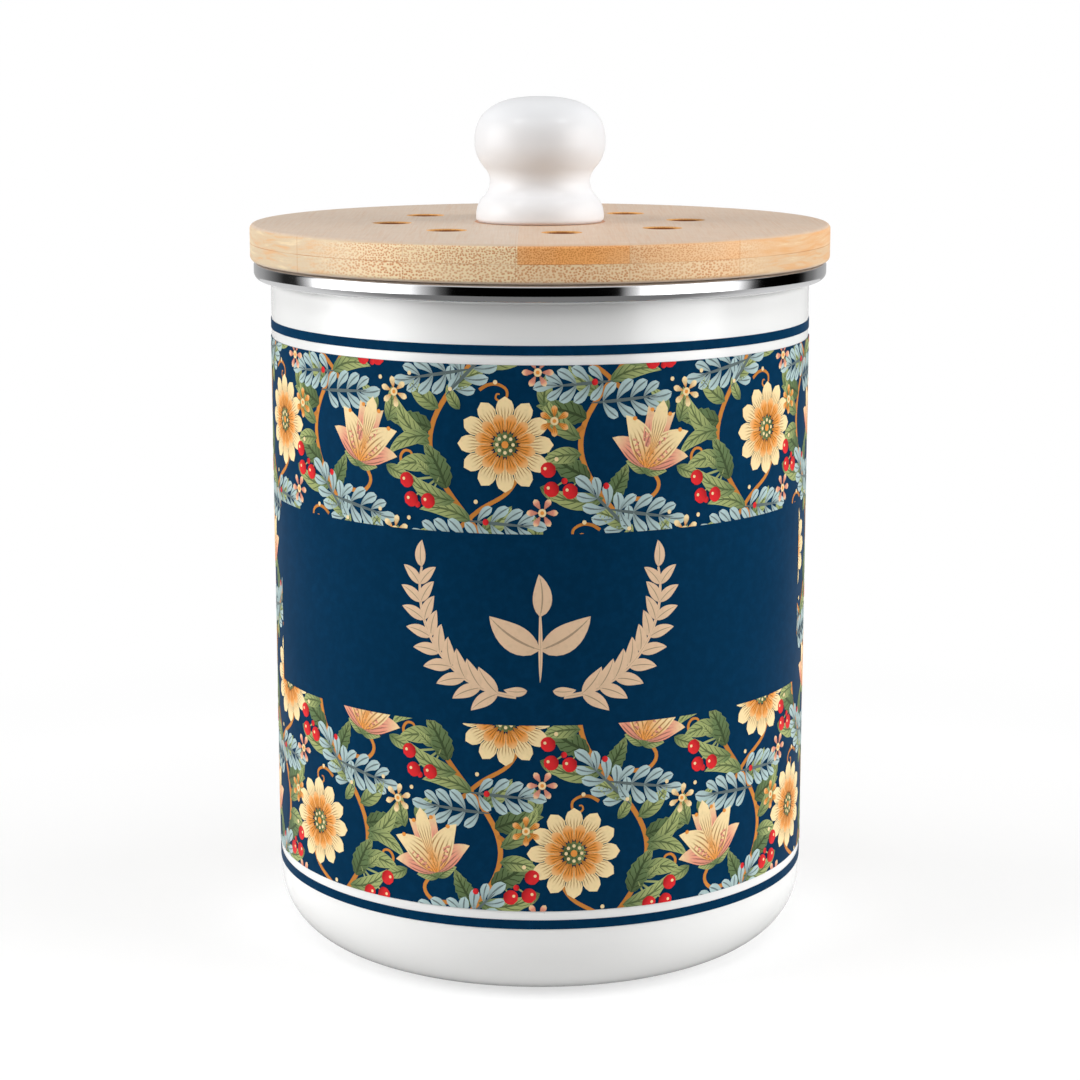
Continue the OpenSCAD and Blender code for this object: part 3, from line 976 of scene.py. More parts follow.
def smooth_spine(knots, columns):
    """A smooth line through a few knots."""
    knots = [Vector(k) for k in knots]
    padded = [2 * knots[0] - knots[1], *knots, 2 * knots[-1] - knots[-2]]
    spans = len(knots) - 1
    points = []
    for i in range(columns + 1):
        place = i / columns * spans
        span = min(int(place), spans - 1)
        t = place - span
        a, b, c, d = padded[span : span + 4]
        point = (
            b * 2
            + (c - a) * t
            + (a * 2 - b * 5 + c * 4 - d) * t**2
            + (b * 3 - a - c * 3 + d) * t**3
        ) / 2
        points.append((point.x, point.y))
    return points


def blade(name, spine, width):
    """A flat motif: a grid bent along a spine, which reaches width(share along) to each side."""
    columns = len(spine) - 1
    clear_selection()
    bpy.ops.mesh.primitive_grid_add(x_subdivisions=columns, y_subdivisions=2, size=1)
    piece = bpy.context.object
    piece.name = name
    for vertex in piece.data.vertices:
        share = vertex.co.x + 0.5
        i = round(share * columns)
        before, after = spine[max(i - 1, 0)], spine[min(i + 1, columns)]
        heading = math.atan2(after[1] - before[1], after[0] - before[0])
        offset = 2 * vertex.co.y * width(share)
        vertex.co.x = spine[i][0] - math.sin(heading) * offset
        vertex.co.y = spine[i][1] + math.cos(heading) * offset
    with editing():
        bpy.ops.mesh.select_all(action="SELECT")
        bpy.ops.mesh.remove_doubles(threshold=WELD)
    return piece


def leaf_width(half, fullness=1.0, serration=0.0, teeth=0):
    """Half width of a leaf with pointed ends, and maybe a toothed edge."""

    def width(share):
        body = max(0.0, math.sin(math.pi * share**fullness)) ** 0.85
        tooth = 1 - serration * ((share * teeth) % 1.0)
        return half * body * tooth

    return width


def petal_width(half):
    """Half width of a petal: narrow at its root, broad and round at its tip."""
    growth, tip_start, tip_length = 1.6, 0.62, 0.38

    def width(share):
        root = min(1.0, share * growth) ** 0.8
        tip = math.sqrt(max(0.0, 1 - max(0.0, (share - tip_start) / tip_length) ** 2))
        return half * root * tip

    return width


def disc_width(share):
    return math.sqrt(max(0.0, 1 - (2 * share - 1) ** 2))


def stem_width(root, tip):
    def width(share):
        return (root + (tip - root) * share) / 2

    return width


def motif_shapes():
    """The few shapes that all motifs are laid out from, each modelled once."""
    # The length of each one's spine, how far that turns and its parts, and then its half width
    bowed = {
        "leaf": ((10, 30, 10), leaf_width(2.1, 0.8)),
        "long_leaf": ((16, 55, 12), leaf_width(2.3, 0.75)),
        "toothed_leaf": ((13, 20, 24), leaf_width(3.1, 0.7, 0.22, 6)),
        "lobe": ((7, 40, 8), petal_width(1.5)),
        "petal": ((9, 0, 8), petal_width(2.3)),
        "slim_petal": ((10, 12, 8), petal_width(1.5)),
        "cup_petal": ((13, 45, 10), leaf_width(2.8, 0.8)),
    }
    shapes = {}
    for name, (spine, width) in bowed.items():
        shapes[name] = blade(name, bowed_spine(*spine), width)
    shapes["disc"] = blade("disc", [(-1 + i / 4, 0) for i in range(9)], disc_width)
    return shapes


class Pen:
    """Places motifs. It keeps a list of shape, ink and place, and hands on a moved copy of itself."""

    def __init__(self, marks, place=None):
        self.marks = marks
        self.place = place or Matrix.Identity(4)

    def at(self, x, y, turn=0.0, size=1.0, mirrored=False):
        move = Matrix.Translation((x, y, 0)) @ Matrix.Rotation(math.radians(turn), 4, "Z")
        flip = Matrix.Diagonal((size, -size if mirrored else size, 1, 1))
        return Pen(self.marks, self.place @ move @ flip)

    def draw(self, shape, ink, width=1.0):
        self.marks.append((shape, ink, self.place @ Matrix.Diagonal((1, width, 1, 1))))

    def dot(self, ink, x, y, radius):
        self.at(x, y, 0, radius).draw("disc", ink)


def feathered_leaf(pen):
    """A broad leaf of paired lobes along a rib."""
    for i in range(LOBE_PAIRS):
        size = 1.05 - 0.13 * abs(i - LOBE_PAIRS * 0.35)
        turn = 52 - 5 * i
        for side in (1, -1):
            pen.at(2 + LOBE_SPACING * i, 0, turn * side, size, side > 0).draw("lobe", "mist")
    rib = LOBE_SPACING * LOBE_PAIRS
    pen.at(rib - 0.6, 0, 0, 1.05).draw("lobe", "mist")
    pen.at(-1.5, 0, 0, 0.1 * (rib + 5)).draw("leaf", "mist_rib", 0.11)


def rosette(pen):
    """The large round flower: two rings of petals round a seeded eye."""
    for size, out, ink, start in ((0.98, 3.2, "cream", 0), (0.58, 2.6, "amber", 15)):
        for i in range(12):
            pen.at(0, 0, 30 * i + start).at(out, 0, 0, size).draw("petal", ink)
    pen.dot("moss", 0, 0, 3.1)
    for i in range(8):
        turn = math.radians(45 * i)
        pen.dot("cream_dot", 2.0 * math.cos(turn), 2.0 * math.sin(turn), 0.45)
    pen.dot("amber_dot", 0, 0, 0.9)


def cup_flower(pen):
    """The large flower seen from its side, with streaked petals and a green cup."""
    for turn, size, ink in ((62, 0.95, "coral"), (36, 1.15, "cream")):
        for side in (1, -1):
            pen.at(0, 0, turn * side, size, side < 0).draw("cup_petal", ink)
    for turn in (14, -14):
        pen.at(1.5, 0, turn, 1.12, turn < 0).draw("cup_petal", "coral", 0.8)
    pen.at(2.5, 0, 0, 1.5).draw("slim_petal", "cream", 0.9)
    for turn in (-70, -25, 25, 70):
        pen.at(-1.5, 0, turn, 0.62, turn < 0).draw("leaf", "sage", 1.1)
    for turn in (-30, -10, 10, 30):
        pen.at(0, 0, turn).dot("amber_dot", 15.5 - abs(turn) / 12, 0, 0.55)


def small_flower(pen, ink):
    for i in range(6):
        pen.at(0, 0, 60 * i).at(0.9, 0, 0, 0.34).draw("petal", ink)
    pen.dot("cream_dot", 0, 0, 1.05)
    pen.dot("amber_dot", 0, 0, 0.5)


def berries(pen):
    """Three round berries on forked stalks with a leaf above."""
    for x, y in ((9, 3.4), (10.4, -1.6), (6.2, -4.2)):
        turn = math.degrees(math.atan2(y, x))
        pen.at(0, 0, turn, math.hypot(x, y) / 10).draw("leaf", "sage_stem", 0.16)
        pen.dot("berry", x, y, 2.05)
        pen.dot("cream_dot", x + 0.6, y + 0.7, 0.42)
    pen.at(2, 1.5, 75, 0.6).draw("leaf", "sage")


def column_of_motifs(pen, period):
    """One wavy vine with all that grows from it, over one period."""
    quarter = period / 4

    def on_vine(up, turn, size, mirrored=False):
        return pen.at(VINE_SWAY * math.sin(FULL_TURN * up / period), up, turn, size, mirrored)

    for stem in ("vine", "rosette_stalk", "cup_stalk"):
        pen.draw(stem, "amber_stem")
    # The round flower is to the left of the vine and the cup flower to its right
    rosette(pen.at(-10.4, quarter, 0))
    cup_flower(pen.at(8.0, 3 * quarter - 6.5, 74))
    for up, turn, size in FEATHERED_LEAVES:
        feathered_leaf(on_vine(up, turn, size))
    for up, turn, shape, size, mirrored in VINE_LEAVES:
        ink = "moss" if shape == "toothed_leaf" else "sage"
        on_vine(up, turn, size, mirrored).draw(shape, ink)
    for x, y, turn, size in FLOWER_LEAVES:
        pen.at(x, y, turn, size).draw("leaf", "sage")
    for x, y, turn, ink in SMALL_FLOWERS:
        small_flower(pen.at(x, y, turn), ink)
    berries(on_vine(9, -30, 0.95))
    berries(on_vine(47, 205, 0.95, True))
    for tendril in (on_vine(14, -40, 1.0), on_vine(57, 200, 1.0, True), pen.at(-4, 31, 160, 0.8)):
        tendril.draw("tendril", "amber_stem")
    for x, y in PALE_DOTS:
        pen.dot("cream_dot", x, y, 0.55)
    for x, y in RED_DOTS:
        pen.dot("berry", x, y, 0.8)


def pattern_shapes(period):
    """The shapes of the pattern, with its vine and stalks."""
    shapes = motif_shapes()
    sway = [(VINE_SWAY * math.sin(FULL_TURN * i / 12), period * i / 12) for i in range(13)]
    for name, knots, parts, root, tip in (
        ("vine", sway, 36, 1.3, 1.3),
        ("rosette_stalk", ROSETTE_STALK, 18, 1.2, 0.8),
        ("cup_stalk", CUP_STALK, 18, 1.2, 0.9),
        ("tendril", SCROLL, 26, 1.1, 0.45),
    ):
        shapes[name] = blade(name, smooth_spine(knots, parts), stem_width(root, tip))
    return shapes


def pattern_marks(width, period):
    """The marks of one repeat: a column of motifs, and its mirror image half a period up."""
    marks = []
    half_drop = Matrix.Translation((width / 4, period / 2, 0)) @ Matrix.Diagonal((-1, 1, 1, 1))
    column_of_motifs(Pen(marks).at(-width / 4, 0), period)
    column_of_motifs(Pen(marks, half_drop), period)
    return marks


class CADDY_OT_add_pattern(bpy.types.Operator):
    """Lays out the leaf and flower pattern, repeats it, trims it and wraps it round the can"""

    bl_idname = "caddy.add_pattern"
    bl_label = "Leaf and Flower Pattern"

    def execute(self, context):
        settings = context.scene.caddy_print
        low = bottom("print_wrap")
        radius = reach("lower_line") / MM
        width = FULL_TURN * radius / settings.columns
        height = (top("print_wrap") - low) / MM
        period = height / 2
        panel = [(z - low) / MM for z in (bottom("label_panel"), top("label_panel"))]
        panel_edge = settings.panel_half_angle * radius
        first_column = -(settings.columns - 1) / 2
        shapes = pattern_shapes(period)
        marks = pattern_marks(width, period)
        for level, (ink, material) in enumerate(pattern_inks(settings).items()):
            piece = gather(shapes, marks, ink, level)
            repeat(piece, (width, 0, 0), settings.columns, (first_column * width, 0, 0))
            repeat(piece, (0, period, 0), ROWS, (0, -period - PATTERN_DROP, 0))
            trim(piece, height, panel_edge, *panel)
            wrap(piece, radius, low)
            finish_piece(piece, material, "can", "pattern_print")
        discard(shapes.values())
        return {"FINISHED"}


def pattern_inks(settings):
    """The inks from the lowest to the highest, each with its material."""
    sage, moss, mist, cream, amber, coral, berry = (
        tuple(getattr(settings, ink))
        for ink in ("sage", "moss", "mist", "cream", "amber", "coral", "berry")
    )
    # Each ink's own colour, its deep and its light one, and then its veins or streaks
    inks = {
        "amber_stem": (shift(amber, 0.75), shift(amber, 0.6), amber, {}),
        "sage_stem": (sage, shift(sage, 0.7), sage, {}),
        "moss": (moss, shift(moss, 0.6), sage, {"veins": 7, "slant": 1.4, "rib": 0.16, "tip": 0.7}),
        "sage": (sage, moss, shift(sage, 1.4), {"veins": 6, "rib": 0.16, "tip": 0.6}),
        "mist": (mist, shift(mist, 0.55), shift(mist, 1.3), {"rib": 0.2, "tip": 0.6}),
        "mist_rib": (shift(mist, 0.3), shift(mist, 0.25), mist, {}),
        "coral": (coral, shift(coral, 0.7), cream, {"streaks": 5, "tip": 0.9}),
        "cream": (cream, amber, shift(cream, 1.12), {"streaks": 5, "tip": 0.7}),
        "amber": (amber, shift(amber, 0.6), cream, {"streaks": 3, "tip": 0.5}),
        "berry": (berry, shift(berry, 0.6), shift(berry, 1.2), {"tip": 0.5}),
        "cream_dot": (cream, cream, cream, {}),
        "amber_dot": (amber, amber, amber, {}),
    }
    return {
        ink: ink_material("ink_" + ink, tint, deep, light, **detail)
        for ink, (tint, deep, light, detail) in inks.items()
    }


def gather(shapes, marks, ink, level):
    """Copies every motif of one ink to its place and joins them into one flat piece."""
    copies = []
    for shape, mark_ink, place in marks:
        if mark_ink != ink:
            continue
        copied = duplicate(shapes[shape])
        lift = level * INK_LIFT / 2 + STACK_STEP * (len(copies) % STACK_LENGTH)
        copied.data.transform(Matrix.Translation((0, 0, lift)) @ place)
        if place.determinant() < 0:
            copied.data.flip_normals()
        copies.append(copied)
    if not copies:
        raise RuntimeError(f"no motif is printed in {ink}")
    piece = join(copies)
    piece.name = "print_" + ink
    return piece


def repeat(piece, step, count, start):
    """Repeats a flat piece along one direction, from start on."""
    piece.data.transform(Matrix.Translation(start))
    apply_modifier(
        piece,
        "ARRAY",
        count=count,
        use_relative_offset=False,
        use_constant_offset=True,
        constant_offset_displace=step,
    )


def trim(piece, height, edge, low, high):
    """Trims a flat piece to the sleeve's height and clears the label panel."""
    pick(piece)
    with editing():
        cut_plane((0, 0, 0), (0, 1, 0), clear_behind=True)
        cut_plane((0, height, 0), (0, 1, 0), clear_ahead=True)
        for level in (low, high):
            cut_plane((0, level, 0), (0, 1, 0))
        for side in (edge, -edge):
            cut_plane((side, 0, 0), (1, 0, 0))
    delete_faces(piece, lambda p: abs(p.x) < edge and low < p.y < high)


def wrap(piece, radius, low):
    """Gives a flat piece its thickness and wraps it round the can, from millimetres to metres."""
    thicken(piece, INK_THICKNESS)
    mesh = piece.data
    flat = np.empty(len(mesh.vertices) * 3, np.float32)
    mesh.vertices.foreach_get("co", flat)
    x, y, z = flat.reshape(-1, 3).T.astype(np.float64)
    out = radius + INK_LIFT + z
    turned = x / radius
    wrapped = np.stack((out * np.sin(turned), -out * np.cos(turned), y + low / MM), axis=1) * MM
    mesh.vertices.foreach_set("co", wrapped.astype(np.float32).ravel())
    mesh.update()
    shade(piece, degrees=40)


# ---- The ornament on the label panel ----

# The branch's length, how far it turns and its parts
LAUREL_BRANCH = (46, 100, 20)


def seedling(pen):
    """Two leaves and a bud on a short stem, over two small leaves."""
    for x, y, turn, size, mirrored, width in (
        (0, -13.5, 90, 2.1, False, 0.12),
        (0, -5, 32, 1.55, False, 1.1),
        (0, -5, 148, 1.55, True, 1.1),
        (0, 3.5, 90, 1.1, False, 1.05),
        (3.2, -15.5, 0, 0.6, False, 1.0),
        (-3.2, -15.5, 180, 0.6, True, 1.0),
    ):
        pen.at(x, y, turn, size, mirrored).draw("leaf", "ornament", width)


def laurel(pen):
    """Half of an open wreath: a bowed branch with paired leaves."""
    pen.draw("branch", "ornament")
    spine = bowed_spine(*LAUREL_BRANCH)
    turn = 0
    for i in range(2, len(spine) - 1, 2):
        before, here = spine[i - 1], spine[i]
        turn = math.degrees(math.atan2(here[1] - before[1], here[0] - before[0]))
        size = 0.88 - 0.012 * i
        pen.at(*here, turn + 42, size).draw("leaf", "ornament")
        pen.at(*here, turn - 42, size, True).draw("leaf", "ornament")
    pen.at(*spine[-1], turn, 0.7).draw("leaf", "ornament")


class CADDY_OT_add_ornament(bpy.types.Operator):
    """Prints a leaf ornament on the label panel"""

    bl_idname = "caddy.add_ornament"
    bl_label = "Panel Ornament"

    def execute(self, context):
        shapes = motif_shapes()
        shapes["branch"] = blade("branch", bowed_spine(*LAUREL_BRANCH), stem_width(1.2, 0.6))
        pen = Pen([])
        seedling(pen)
        laurel(pen.at(6, -17, 50))
        laurel(pen.at(-6, -17, 130, 1.0, True))
        tint = tuple(context.scene.caddy_print.ornament)
        piece = gather(shapes, pen.marks, "ornament", 0)
        middle = (bottom("label_panel") + top("label_panel")) / 2
        wrap(piece, reach("lower_line") / MM, middle)
        material = ink_material("ink_ornament", tint, shift(tint, 0.92), tint, rib=0.1)
        finish_piece(piece, material, "can", "pattern_print")
        discard(shapes.values())
        return {"FINISHED"}


# ---- The lid ----

SCREW_STEPS = 24
VENT_STEPS = 64
KNOB_STEPS = 128
DOME_STEPS = 28
PAD_STEPS = 96
PAD_RINGS = 16

# How dark each bamboo strip is, from the left to the right, and how wide its fibre bundles are
UPPER_GRAIN = (0.1, 0.1, 1.0, 0.66, 0.5, 0.4), 0.64 * MM
LOWER_GRAIN = (0.05, 0.15, 0.4, 0.45, 0.3, 0.3), 0.78 * MM
RING_GRAIN = (0.3, 0.1, 0.5, 0.2, 0.4, 0.1), 0.85 * MM


def drill(board):
    """The cutters for the vent holes and the screw, flared where they break the board's faces."""
    low, high = bottom("lid_lower_ply"), top("lid_upper_ply")
    over = 1 * MM

    def cutter(name, radius, steps):
        flare = radius + board.vent_chamfer + over
        outline = [
            (0, low - over),
            (flare, low - over),
            (radius, low + board.vent_chamfer),
            (radius, high - board.vent_chamfer),
            (flare, high + over),
            (0, high + over),
        ]
        return lathe(name, outline, steps)

    tools = [cutter("screw_drill", board.screw_hole, SCREW_STEPS)]
    vent = cutter("vent_drill", board.vent_radius, VENT_STEPS)
    for i in range(board.vent_count):
        turn = FRONT + board.turn + FULL_TURN * i / board.vent_count
        tool = duplicate(vent)
        place = (board.vent_circle * math.cos(turn), board.vent_circle * math.sin(turn), 0)
        tool.data.transform(Matrix.Translation(place))
        tools.append(tool)
    discard([vent])
    return join(tools)


def ply(name, node, radius, upper, tool):
    """One ply of the board: a disc with one rounded rim and the holes through it."""
    low, high = bottom(node), top(node)
    clear_selection()
    bpy.ops.mesh.primitive_cylinder_add(
        vertices=LATHE_STEPS, radius=reach(node), depth=high - low, location=(0, 0, (low + high) / 2)
    )
    piece = bpy.context.object
    piece.name = name
    bpy.ops.object.transform_apply(location=True, rotation=False, scale=False)
    rim = high if upper else low
    points = piece.data.vertices
    near = 0.01 * MM

    def on_rim(edge):
        return all(abs(points[i].co.z - rim) < near for i in edge.vertices)

    with editing_some(piece, "EDGE", on_rim):
        bpy.ops.mesh.bevel(offset=radius, segments=6, profile=0.5, affect="EDGES")
    apply_modifier(piece, "BOOLEAN", operation="DIFFERENCE", solver="EXACT", object=tool)
    shade(piece, degrees=30)
    return piece


class CADDY_OT_add_board(bpy.types.Operator):
    """Turns and drills the two bamboo plies of the lid's board"""

    bl_idname = "caddy.add_board"
    bl_label = "Bamboo Board"

    def execute(self, context):
        board = context.scene.caddy_board
        foot = context.scene.caddy_knob.foot_radius
        tool = drill(board)
        # The upper ply gets a painted shadow round the knob's foot, and the lower ply gets none
        for name, node, upper, grain, glue_at, shadow_foot in (
            ("board_upper_ply", "lid_upper_ply", True, UPPER_GRAIN, bottom("lid_upper_ply"), foot),
            ("board_lower_ply", "lid_lower_ply", False, LOWER_GRAIN, top("lid_lower_ply"), 0),
        ):
            piece = ply(name, node, board.edge_radius, upper, tool)
            material = bamboo_material("bamboo_" + name, board, grain, glue_at, shadow_foot)
            finish_piece(piece, material, "lid", "bamboo", node)
        discard([tool])
        return {"FINISHED"}


def knob_outline(knob, low, high):
    """The knob's section: foot, flare, waist, ball and dome, each arc tangent to the next."""
    edge = knob.foot_edge_radius
    foot_z = low + edge + knob.foot_side
    flare_r = knob.waist_radius + knob.flare_radius
    flare_run = flare_r - knob.foot_radius + knob.foot_top_radius
    flare_up = math.sqrt((knob.flare_radius + knob.foot_top_radius) ** 2 - flare_run**2)
    foot_turn = math.degrees(math.atan2(flare_up, flare_run))
    waist_z = foot_z + flare_up
    ball_z = waist_z + knob.ball_rise
    side_r = knob.ball_radius - knob.ball_side_radius
    run = knob.waist_radius - side_r
    waist_top = (run**2 + knob.ball_rise**2 - knob.ball_side_radius**2) / (
        2 * (knob.ball_side_radius - run)
    )
    ball_turn = math.degrees(math.atan2(knob.ball_rise, knob.waist_radius + waist_top - side_r))
    power = 2 / knob.dome_power
    dome = [
        (knob.ball_radius * math.cos(a) ** power, ball_z + (high - ball_z) * math.sin(a) ** power)
        for a in (math.pi / 2 * i / DOME_STEPS for i in range(1, DOME_STEPS))
    ]
    return [
        (0, low),
        *arc(knob.foot_radius - edge, low + edge, edge, -90, 0),
        *arc(knob.foot_radius - knob.foot_top_radius, foot_z, knob.foot_top_radius, 0, foot_turn, 12),
        *arc(flare_r, waist_z, knob.flare_radius, 180 + foot_turn, 180, 12)[1:],
        *arc(knob.waist_radius + waist_top, waist_z, waist_top, 180, 180 - ball_turn, 12)[1:],
        *arc(side_r, ball_z, knob.ball_side_radius, -ball_turn, 0, 14)[1:],
        *dome,
        (0, high),
    ]


class CADDY_OT_add_knob(bpy.types.Operator):
    """Spins the glazed knob"""

    bl_idname = "caddy.add_knob"
    bl_label = "Knob"

    def execute(self, context):
        knob = context.scene.caddy_knob
        outline = knob_outline(knob, bottom("knob"), top("knob"))
        piece = lathe("glazed_knob", outline, KNOB_STEPS, smooth=60)
        finish_piece(piece, glaze_material(tuple(knob.glaze)), "lid", "white_ceramic", "knob")
        return {"FINISHED"}


class CADDY_OT_add_fixing(bpy.types.Operator):
    """Finishes the knob's screw, washer and brass insert"""

    bl_idname = "caddy.add_fixing"
    bl_label = "Knob Fixing"

    def execute(self, context):
        zinc = steel_material("zinc_plate", (0.58, 0.58, 0.6), roughness=0.28, brush=0.2)
        brass = steel_material("turned_brass", (0.72, 0.5, 0.2), roughness=0.2, brush=0.15)
        for node, name in (("knob_screw", "cross_head_screw"), ("knob_washer", "plain_washer")):
            piece = rounded_copy(node, name, context.scene.caddy_knob.fixing_edge)
            finish_piece(piece, zinc, "lid", "plated_steel", node)
        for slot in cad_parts["knob_insert"].material_slots:
            slot.material = brass
        return {"FINISHED"}


class CADDY_OT_add_ring_and_seal(bpy.types.Operator):
    """Makes the bamboo locating ring and the lipped seal in its groove"""

    bl_idname = "caddy.add_ring_and_seal"
    bl_label = "Locating Ring and Seal"

    def execute(self, context):
        settings = context.scene.caddy_filter
        board = context.scene.caddy_board
        ring = rounded_copy("locating_ring", "bamboo_locating_ring", settings.edge_break)
        material = bamboo_material("bamboo_ring", board, RING_GRAIN, bottom("locating_ring"))
        finish_piece(ring, material, "lid", "bamboo", "locating_ring")
        seal = lathe("lipped_seal", seal_outline(settings))
        finish_piece(seal, silicone_material(), "lid", "seal_silicone", "seal_ring")
        return {"FINISHED"}


def seal_outline(settings):
    """The seal's section: a band in the ring's groove with two lips that rise outwards."""
    slack = 0.05 * MM
    low = bottom("seal_ring")
    high = top("seal_ring") - settings.lip_rise + settings.lip / 2
    edge = reach("seal_ring")
    foot = reach("locating_ring") + settings.lip
    inside = reach("locating_ring") - settings.groove_depth + slack
    tip = settings.lip / 4
    upper = high - settings.lip
    outline = [(inside, low), (foot - settings.lip / 2, low)]
    outline += arc(edge - tip, low + settings.lip_rise + tip, tip, -60, 90, 6)
    outline += [(foot, low + settings.lip), (foot, upper)]
    outline += arc(edge - tip, upper + settings.lip_rise + tip, tip, -60, 90, 6)
    outline += [(foot - settings.lip / 2, high), (inside, high), (inside, low)]
    return outline


def pad_outline(settings):
    """The pad's section: a flat underside, soft edges and a face that swells to its middle."""
    low, high = bottom("filter_pad"), top("filter_pad")
    edge, crown = settings.pad_edge, settings.pad_crown
    flat = reach("filter_pad") - edge
    rings = [flat - flat * i / PAD_RINGS for i in range(PAD_RINGS + 1)]
    return [
        (0, low),
        (flat, low),
        *arc(flat, low + edge, edge, -80, 0),
        *arc(flat, high - crown - edge, edge, 0, 80),
        *[(r, high - crown * (r / flat) ** 4) for r in rings],
    ]


class CADDY_OT_add_filter(bpy.types.Operator):
    """Makes the slotted filter cover and the carbon felt pad in it"""

    bl_idname = "caddy.add_filter"
    bl_label = "Filter Cover and Pad"

    def execute(self, context):
        settings = context.scene.caddy_filter
        cover = rounded_copy("filter_cover", "slotted_filter_cover", settings.edge_break)
        finish_piece(cover, moulding_material(), "filter", "cover_plastic", "filter_cover")
        pad = lathe("carbon_felt_pad", pad_outline(settings), PAD_STEPS, smooth=60)
        finish_piece(pad, felt_material(), "filter", "carbon_felt", "filter_pad")
        return {"FINISHED"}


# ---- The stage ----

# Each soft box: its name, place, size, which setting gives its power, and if gloss reflects it
SOFT_BOXES = (
    ("soft_box_left", (-1.05, -0.1, 0.40), (0.8, 0.6), "side_lamp", False),
    ("top_box_left", (-0.571, -0.385, 1.10), (0.18, 0.18), "top_lamp", True),
    ("soft_box_right", (1.05, -0.1, 0.40), (0.8, 0.6), "side_lamp", False),
    ("top_box_right", (0.571, -0.385, 1.10), (0.18, 0.18), "top_lamp", True),
    ("soft_box_front", (0, -0.77, 1.04), (0.6, 0.5), "front_lamp", False),
    ("soft_box_back", (0, 0.77, 1.04), (0.6, 0.5), "back_lamp", False),
)
AIM = Vector((0, 0, 0.12))
SENSOR_WIDTH = 36
NEAREST_SEEN = 0.01

# What stands round the studio, as degrees from the front (to the right is more) and brightness
STUDIO = (
    (-180, 0.6), (-145, 0.36), (-138, 0.25), (-132, 0.16), (-127, 0.09), (-122, 0.02), (-112, 0.02),
    (-108, 0.3), (-103, 0.8), (-96, 2.5), (-90, 3.5), (-64, 3.5), (-54, 1.8), (-47, 0.7), (-40, 0.12),
    (-35, 0.0), (31, 0.0), (38, 0.9), (43, 2.5), (50, 3.5), (76, 3.5), (83, 1.5), (88, 0.65),
    (92, 0.12), (96, 0.0), (124, 0.0), (128, 0.02), (133, 0.13), (139, 0.21), (146, 0.37), (180, 0.6),
)
CEILING = 0.75


class CADDY_OT_add_stage(bpy.types.Operator):
    """Adds the camera, the floor, the soft boxes and the pale surroundings"""

    bl_idname = "caddy.add_stage"
    bl_label = "Stage"

    def execute(self, context):
        stage = context.scene.caddy_stage
        add_camera(stage)
        add_floor(stage)
        add_world(stage)
        for name, place, size, power, reflected in SOFT_BOXES:
            add_lamp(name, place, size, getattr(stage, power), reflected)
        context.scene.view_settings.view_transform = "Standard"
        return {"FINISHED"}


def add_camera(stage):
    clear_selection()
    place = (0, -stage.distance, stage.height)
    bpy.ops.object.camera_add(location=place, rotation=(math.pi / 2 - stage.pitch, 0, 0))
    camera = bpy.context.object
    camera.name = "camera"
    camera.data.lens = stage.lens
    camera.data.sensor_width = SENSOR_WIDTH
    camera.data.clip_start = NEAREST_SEEN
    bpy.context.scene.camera = camera


def add_lamp(name, place, size, power, reflected):
    """A soft box that faces the can."""
    clear_selection()
    bpy.ops.object.light_add(type="AREA", location=place)
    lamp = bpy.context.object
    lamp.name = name
    lamp.data.shape = "RECTANGLE"
    lamp.data.size, lamp.data.size_y = size
    lamp.data.energy = power
    lamp.rotation_euler = (AIM - Vector(place)).to_track_quat("-Z", "Y").to_euler()
    lamp.visible_camera = False
    lamp.visible_glossy = reflected


def floor_material():
    """White paper that keeps the can's shadow and turns plain white away from it. Round the can it
    throws light back up, and further out it is a dark table. To gloss the whole floor is a painted glow
    instead, dim in front and brighter behind, which steel reflects."""
    pale_paper, grey_paper, table_grey = (0.76, 0.76, 0.76), (0.73, 0.73, 0.73), (0.15, 0.15, 0.15)
    camera_lift, front_glow, back_glow = 0.27, 0.21, 0.75
    paint = Recipe("floor_white")
    x, y, _ = paint.split(paint.place())
    away = paint.radius(x, y)
    path = paint.node("LightPath").outputs
    paper = paint.blend(paint.noise(paint.place(), scale=30), grey_paper, pale_paper)
    paint.set(Base_Color=paint.blend(paint.fade(away, 0.22, 0.45), paper, table_grey))
    paint.set(Roughness=0.7, Specular_IOR_Level=0.0)
    lift = paint.surface("Emission", Strength=paint.times(path["Is Camera Ray"], camera_lift))
    lifted = paint.node("AddShader", paint.shader.outputs[0], lift).outputs[0]
    whitened = paint.times(paint.fade(away, 0.09, 0.35, 0.5, 1.0), path["Is Camera Ray"])
    seen = paint.either(whitened, lifted, paint.surface("Emission"))
    turned = paint.maths("ABSOLUTE", paint.maths("ARCTAN2", x, paint.times(y, -1)))
    # Painted glow: gloss sees the floor as light, dim in front and brighter behind.
    gloss_glow = paint.surface("Emission", Strength=paint.fade(turned, 0.9, 1.9, front_glow, back_glow))
    shown = paint.either(path["Is Glossy Ray"], seen, gloss_glow)
    # Seen from below, the floor gives way to the can's underside
    clear = paint.surface("BsdfTransparent")
    below = paint.node("NewGeometry").outputs["Backfacing"]
    paint.wire(paint.tree.nodes["Material Output"].inputs[0], paint.either(below, shown, clear))
    return paint.material


def add_floor(stage):
    clear_selection()
    bpy.ops.mesh.primitive_circle_add(vertices=96, radius=stage.floor_radius, fill_type="NGON")
    floor = bpy.context.object
    floor.name = "floor"
    floor.data.materials.append(floor_material())


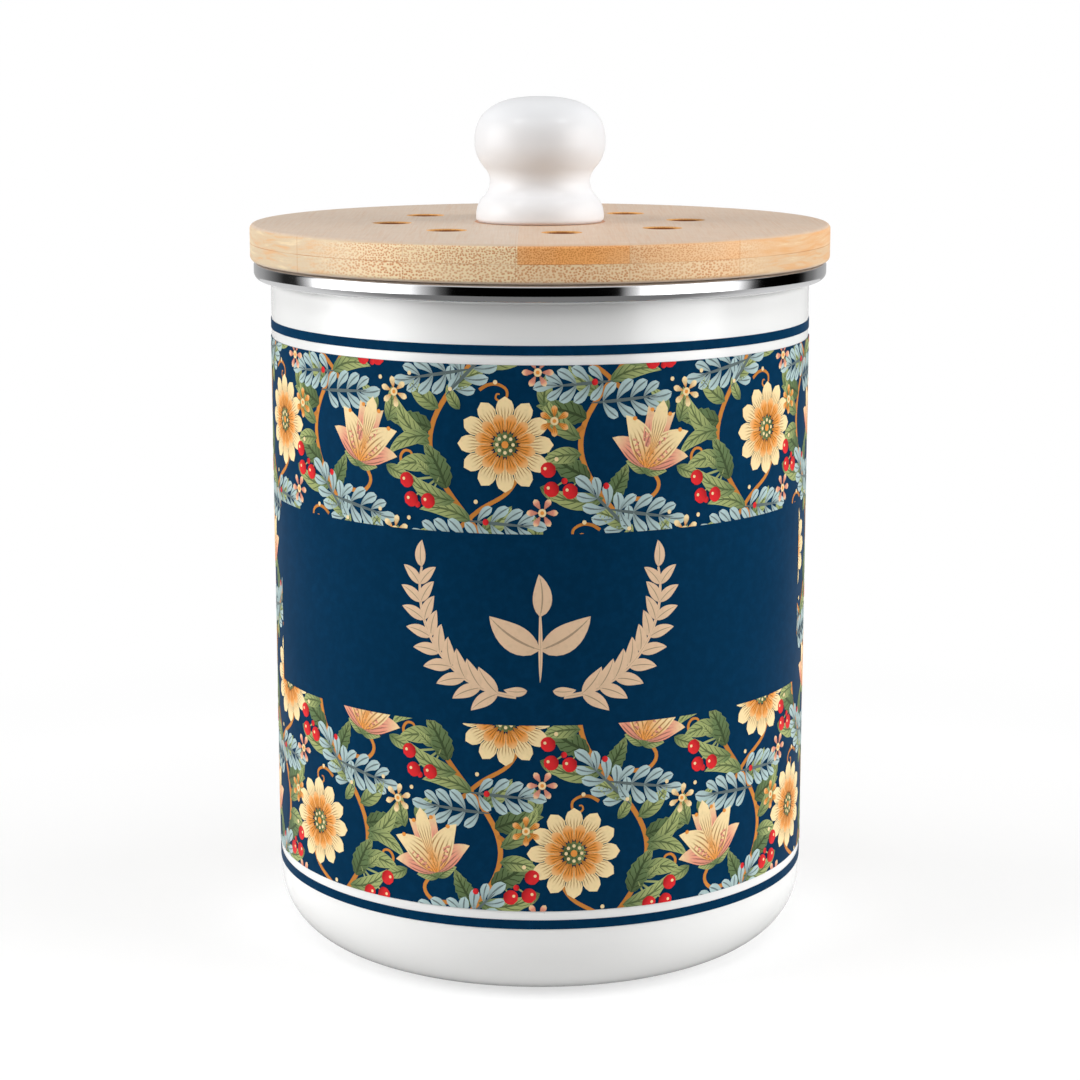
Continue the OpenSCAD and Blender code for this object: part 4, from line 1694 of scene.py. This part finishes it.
def add_world(stage):
    """Plain white where it is seen. All else gets a studio with a dark front, a bright screen on
    each side and a grey wall behind, under a pale ceiling."""
    room = Recipe("pale_studio", bpy.data.worlds)
    bpy.context.scene.world = room.material
    room.tree.nodes.clear()
    x, y, z = room.split(room.node("TexCoord").outputs["Generated"])
    path = room.node("LightPath").outputs
    turned = room.maths("ARCTAN2", x, room.times(y, -1))
    place = room.plus(room.over(turned, FULL_TURN), 0.5)
    stops = [(0.5 + degrees / 360, light / stage.screens) for degrees, light in STUDIO]
    ceiling = (CEILING / stage.screens,) * 3
    around = room.blend(room.fade(z, 0.35, 0.6), room.ramp(place, stops), ceiling)
    strength = room.fade(path["Is Diffuse Ray"], 0, 1, stage.screens, stage.sky)
    studio = room.surface("Background", Color=around, Strength=strength)
    plain = room.surface("Background", Color=(1, 1, 1))
    shown = room.either(path["Is Camera Ray"], studio, plain)
    room.node("OutputWorld", shown)


# ---- Panel and registration ----

OPERATORS = (
    CADDY_OT_add_stage,
    CADDY_OT_add_can,
    CADDY_OT_add_band,
    CADDY_OT_add_print_ground,
    CADDY_OT_add_pattern,
    CADDY_OT_add_ornament,
    CADDY_OT_add_board,
    CADDY_OT_add_knob,
    CADDY_OT_add_fixing,
    CADDY_OT_add_ring_and_seal,
    CADDY_OT_add_filter,
)

SETTINGS = {
    "caddy_can": CaddyCan,
    "caddy_band": CaddyBand,
    "caddy_print": CaddyPrint,
    "caddy_board": CaddyBoard,
    "caddy_knob": CaddyKnob,
    "caddy_filter": CaddyFilter,
    "caddy_stage": CaddyStage,
}


class CADDY_PT_pieces(bpy.types.Panel):
    """Lists the caddy's pieces and their sizes"""

    bl_idname = "CADDY_PT_pieces"
    bl_label = "Compost Caddy"
    bl_space_type = "VIEW_3D"
    bl_region_type = "UI"
    bl_category = "Caddy"

    def draw(self, context):
        for operator in OPERATORS:
            self.layout.operator(operator.bl_idname)
        for name, group in SETTINGS.items():
            box = self.layout.box()
            box.label(text=name.replace("_", " ").title())
            for key in group.__annotations__:
                box.prop(getattr(context.scene, name), key)


CLASSES = (*SETTINGS.values(), *OPERATORS, CADDY_PT_pieces)


def register():
    for item in CLASSES:
        bpy.utils.register_class(item)
    for name, group in SETTINGS.items():
        setattr(bpy.types.Scene, name, PointerProperty(type=group))


def unregister():
    for name in SETTINGS:
        delattr(bpy.types.Scene, name)
    for item in reversed(CLASSES):
        bpy.utils.unregister_class(item)


def main():
    register()
    for operator in OPERATORS:
        group, name = operator.bl_idname.split(".")
        getattr(getattr(bpy.ops, group), name)()
    clear_selection()


if __name__ == "__main__":
    main()
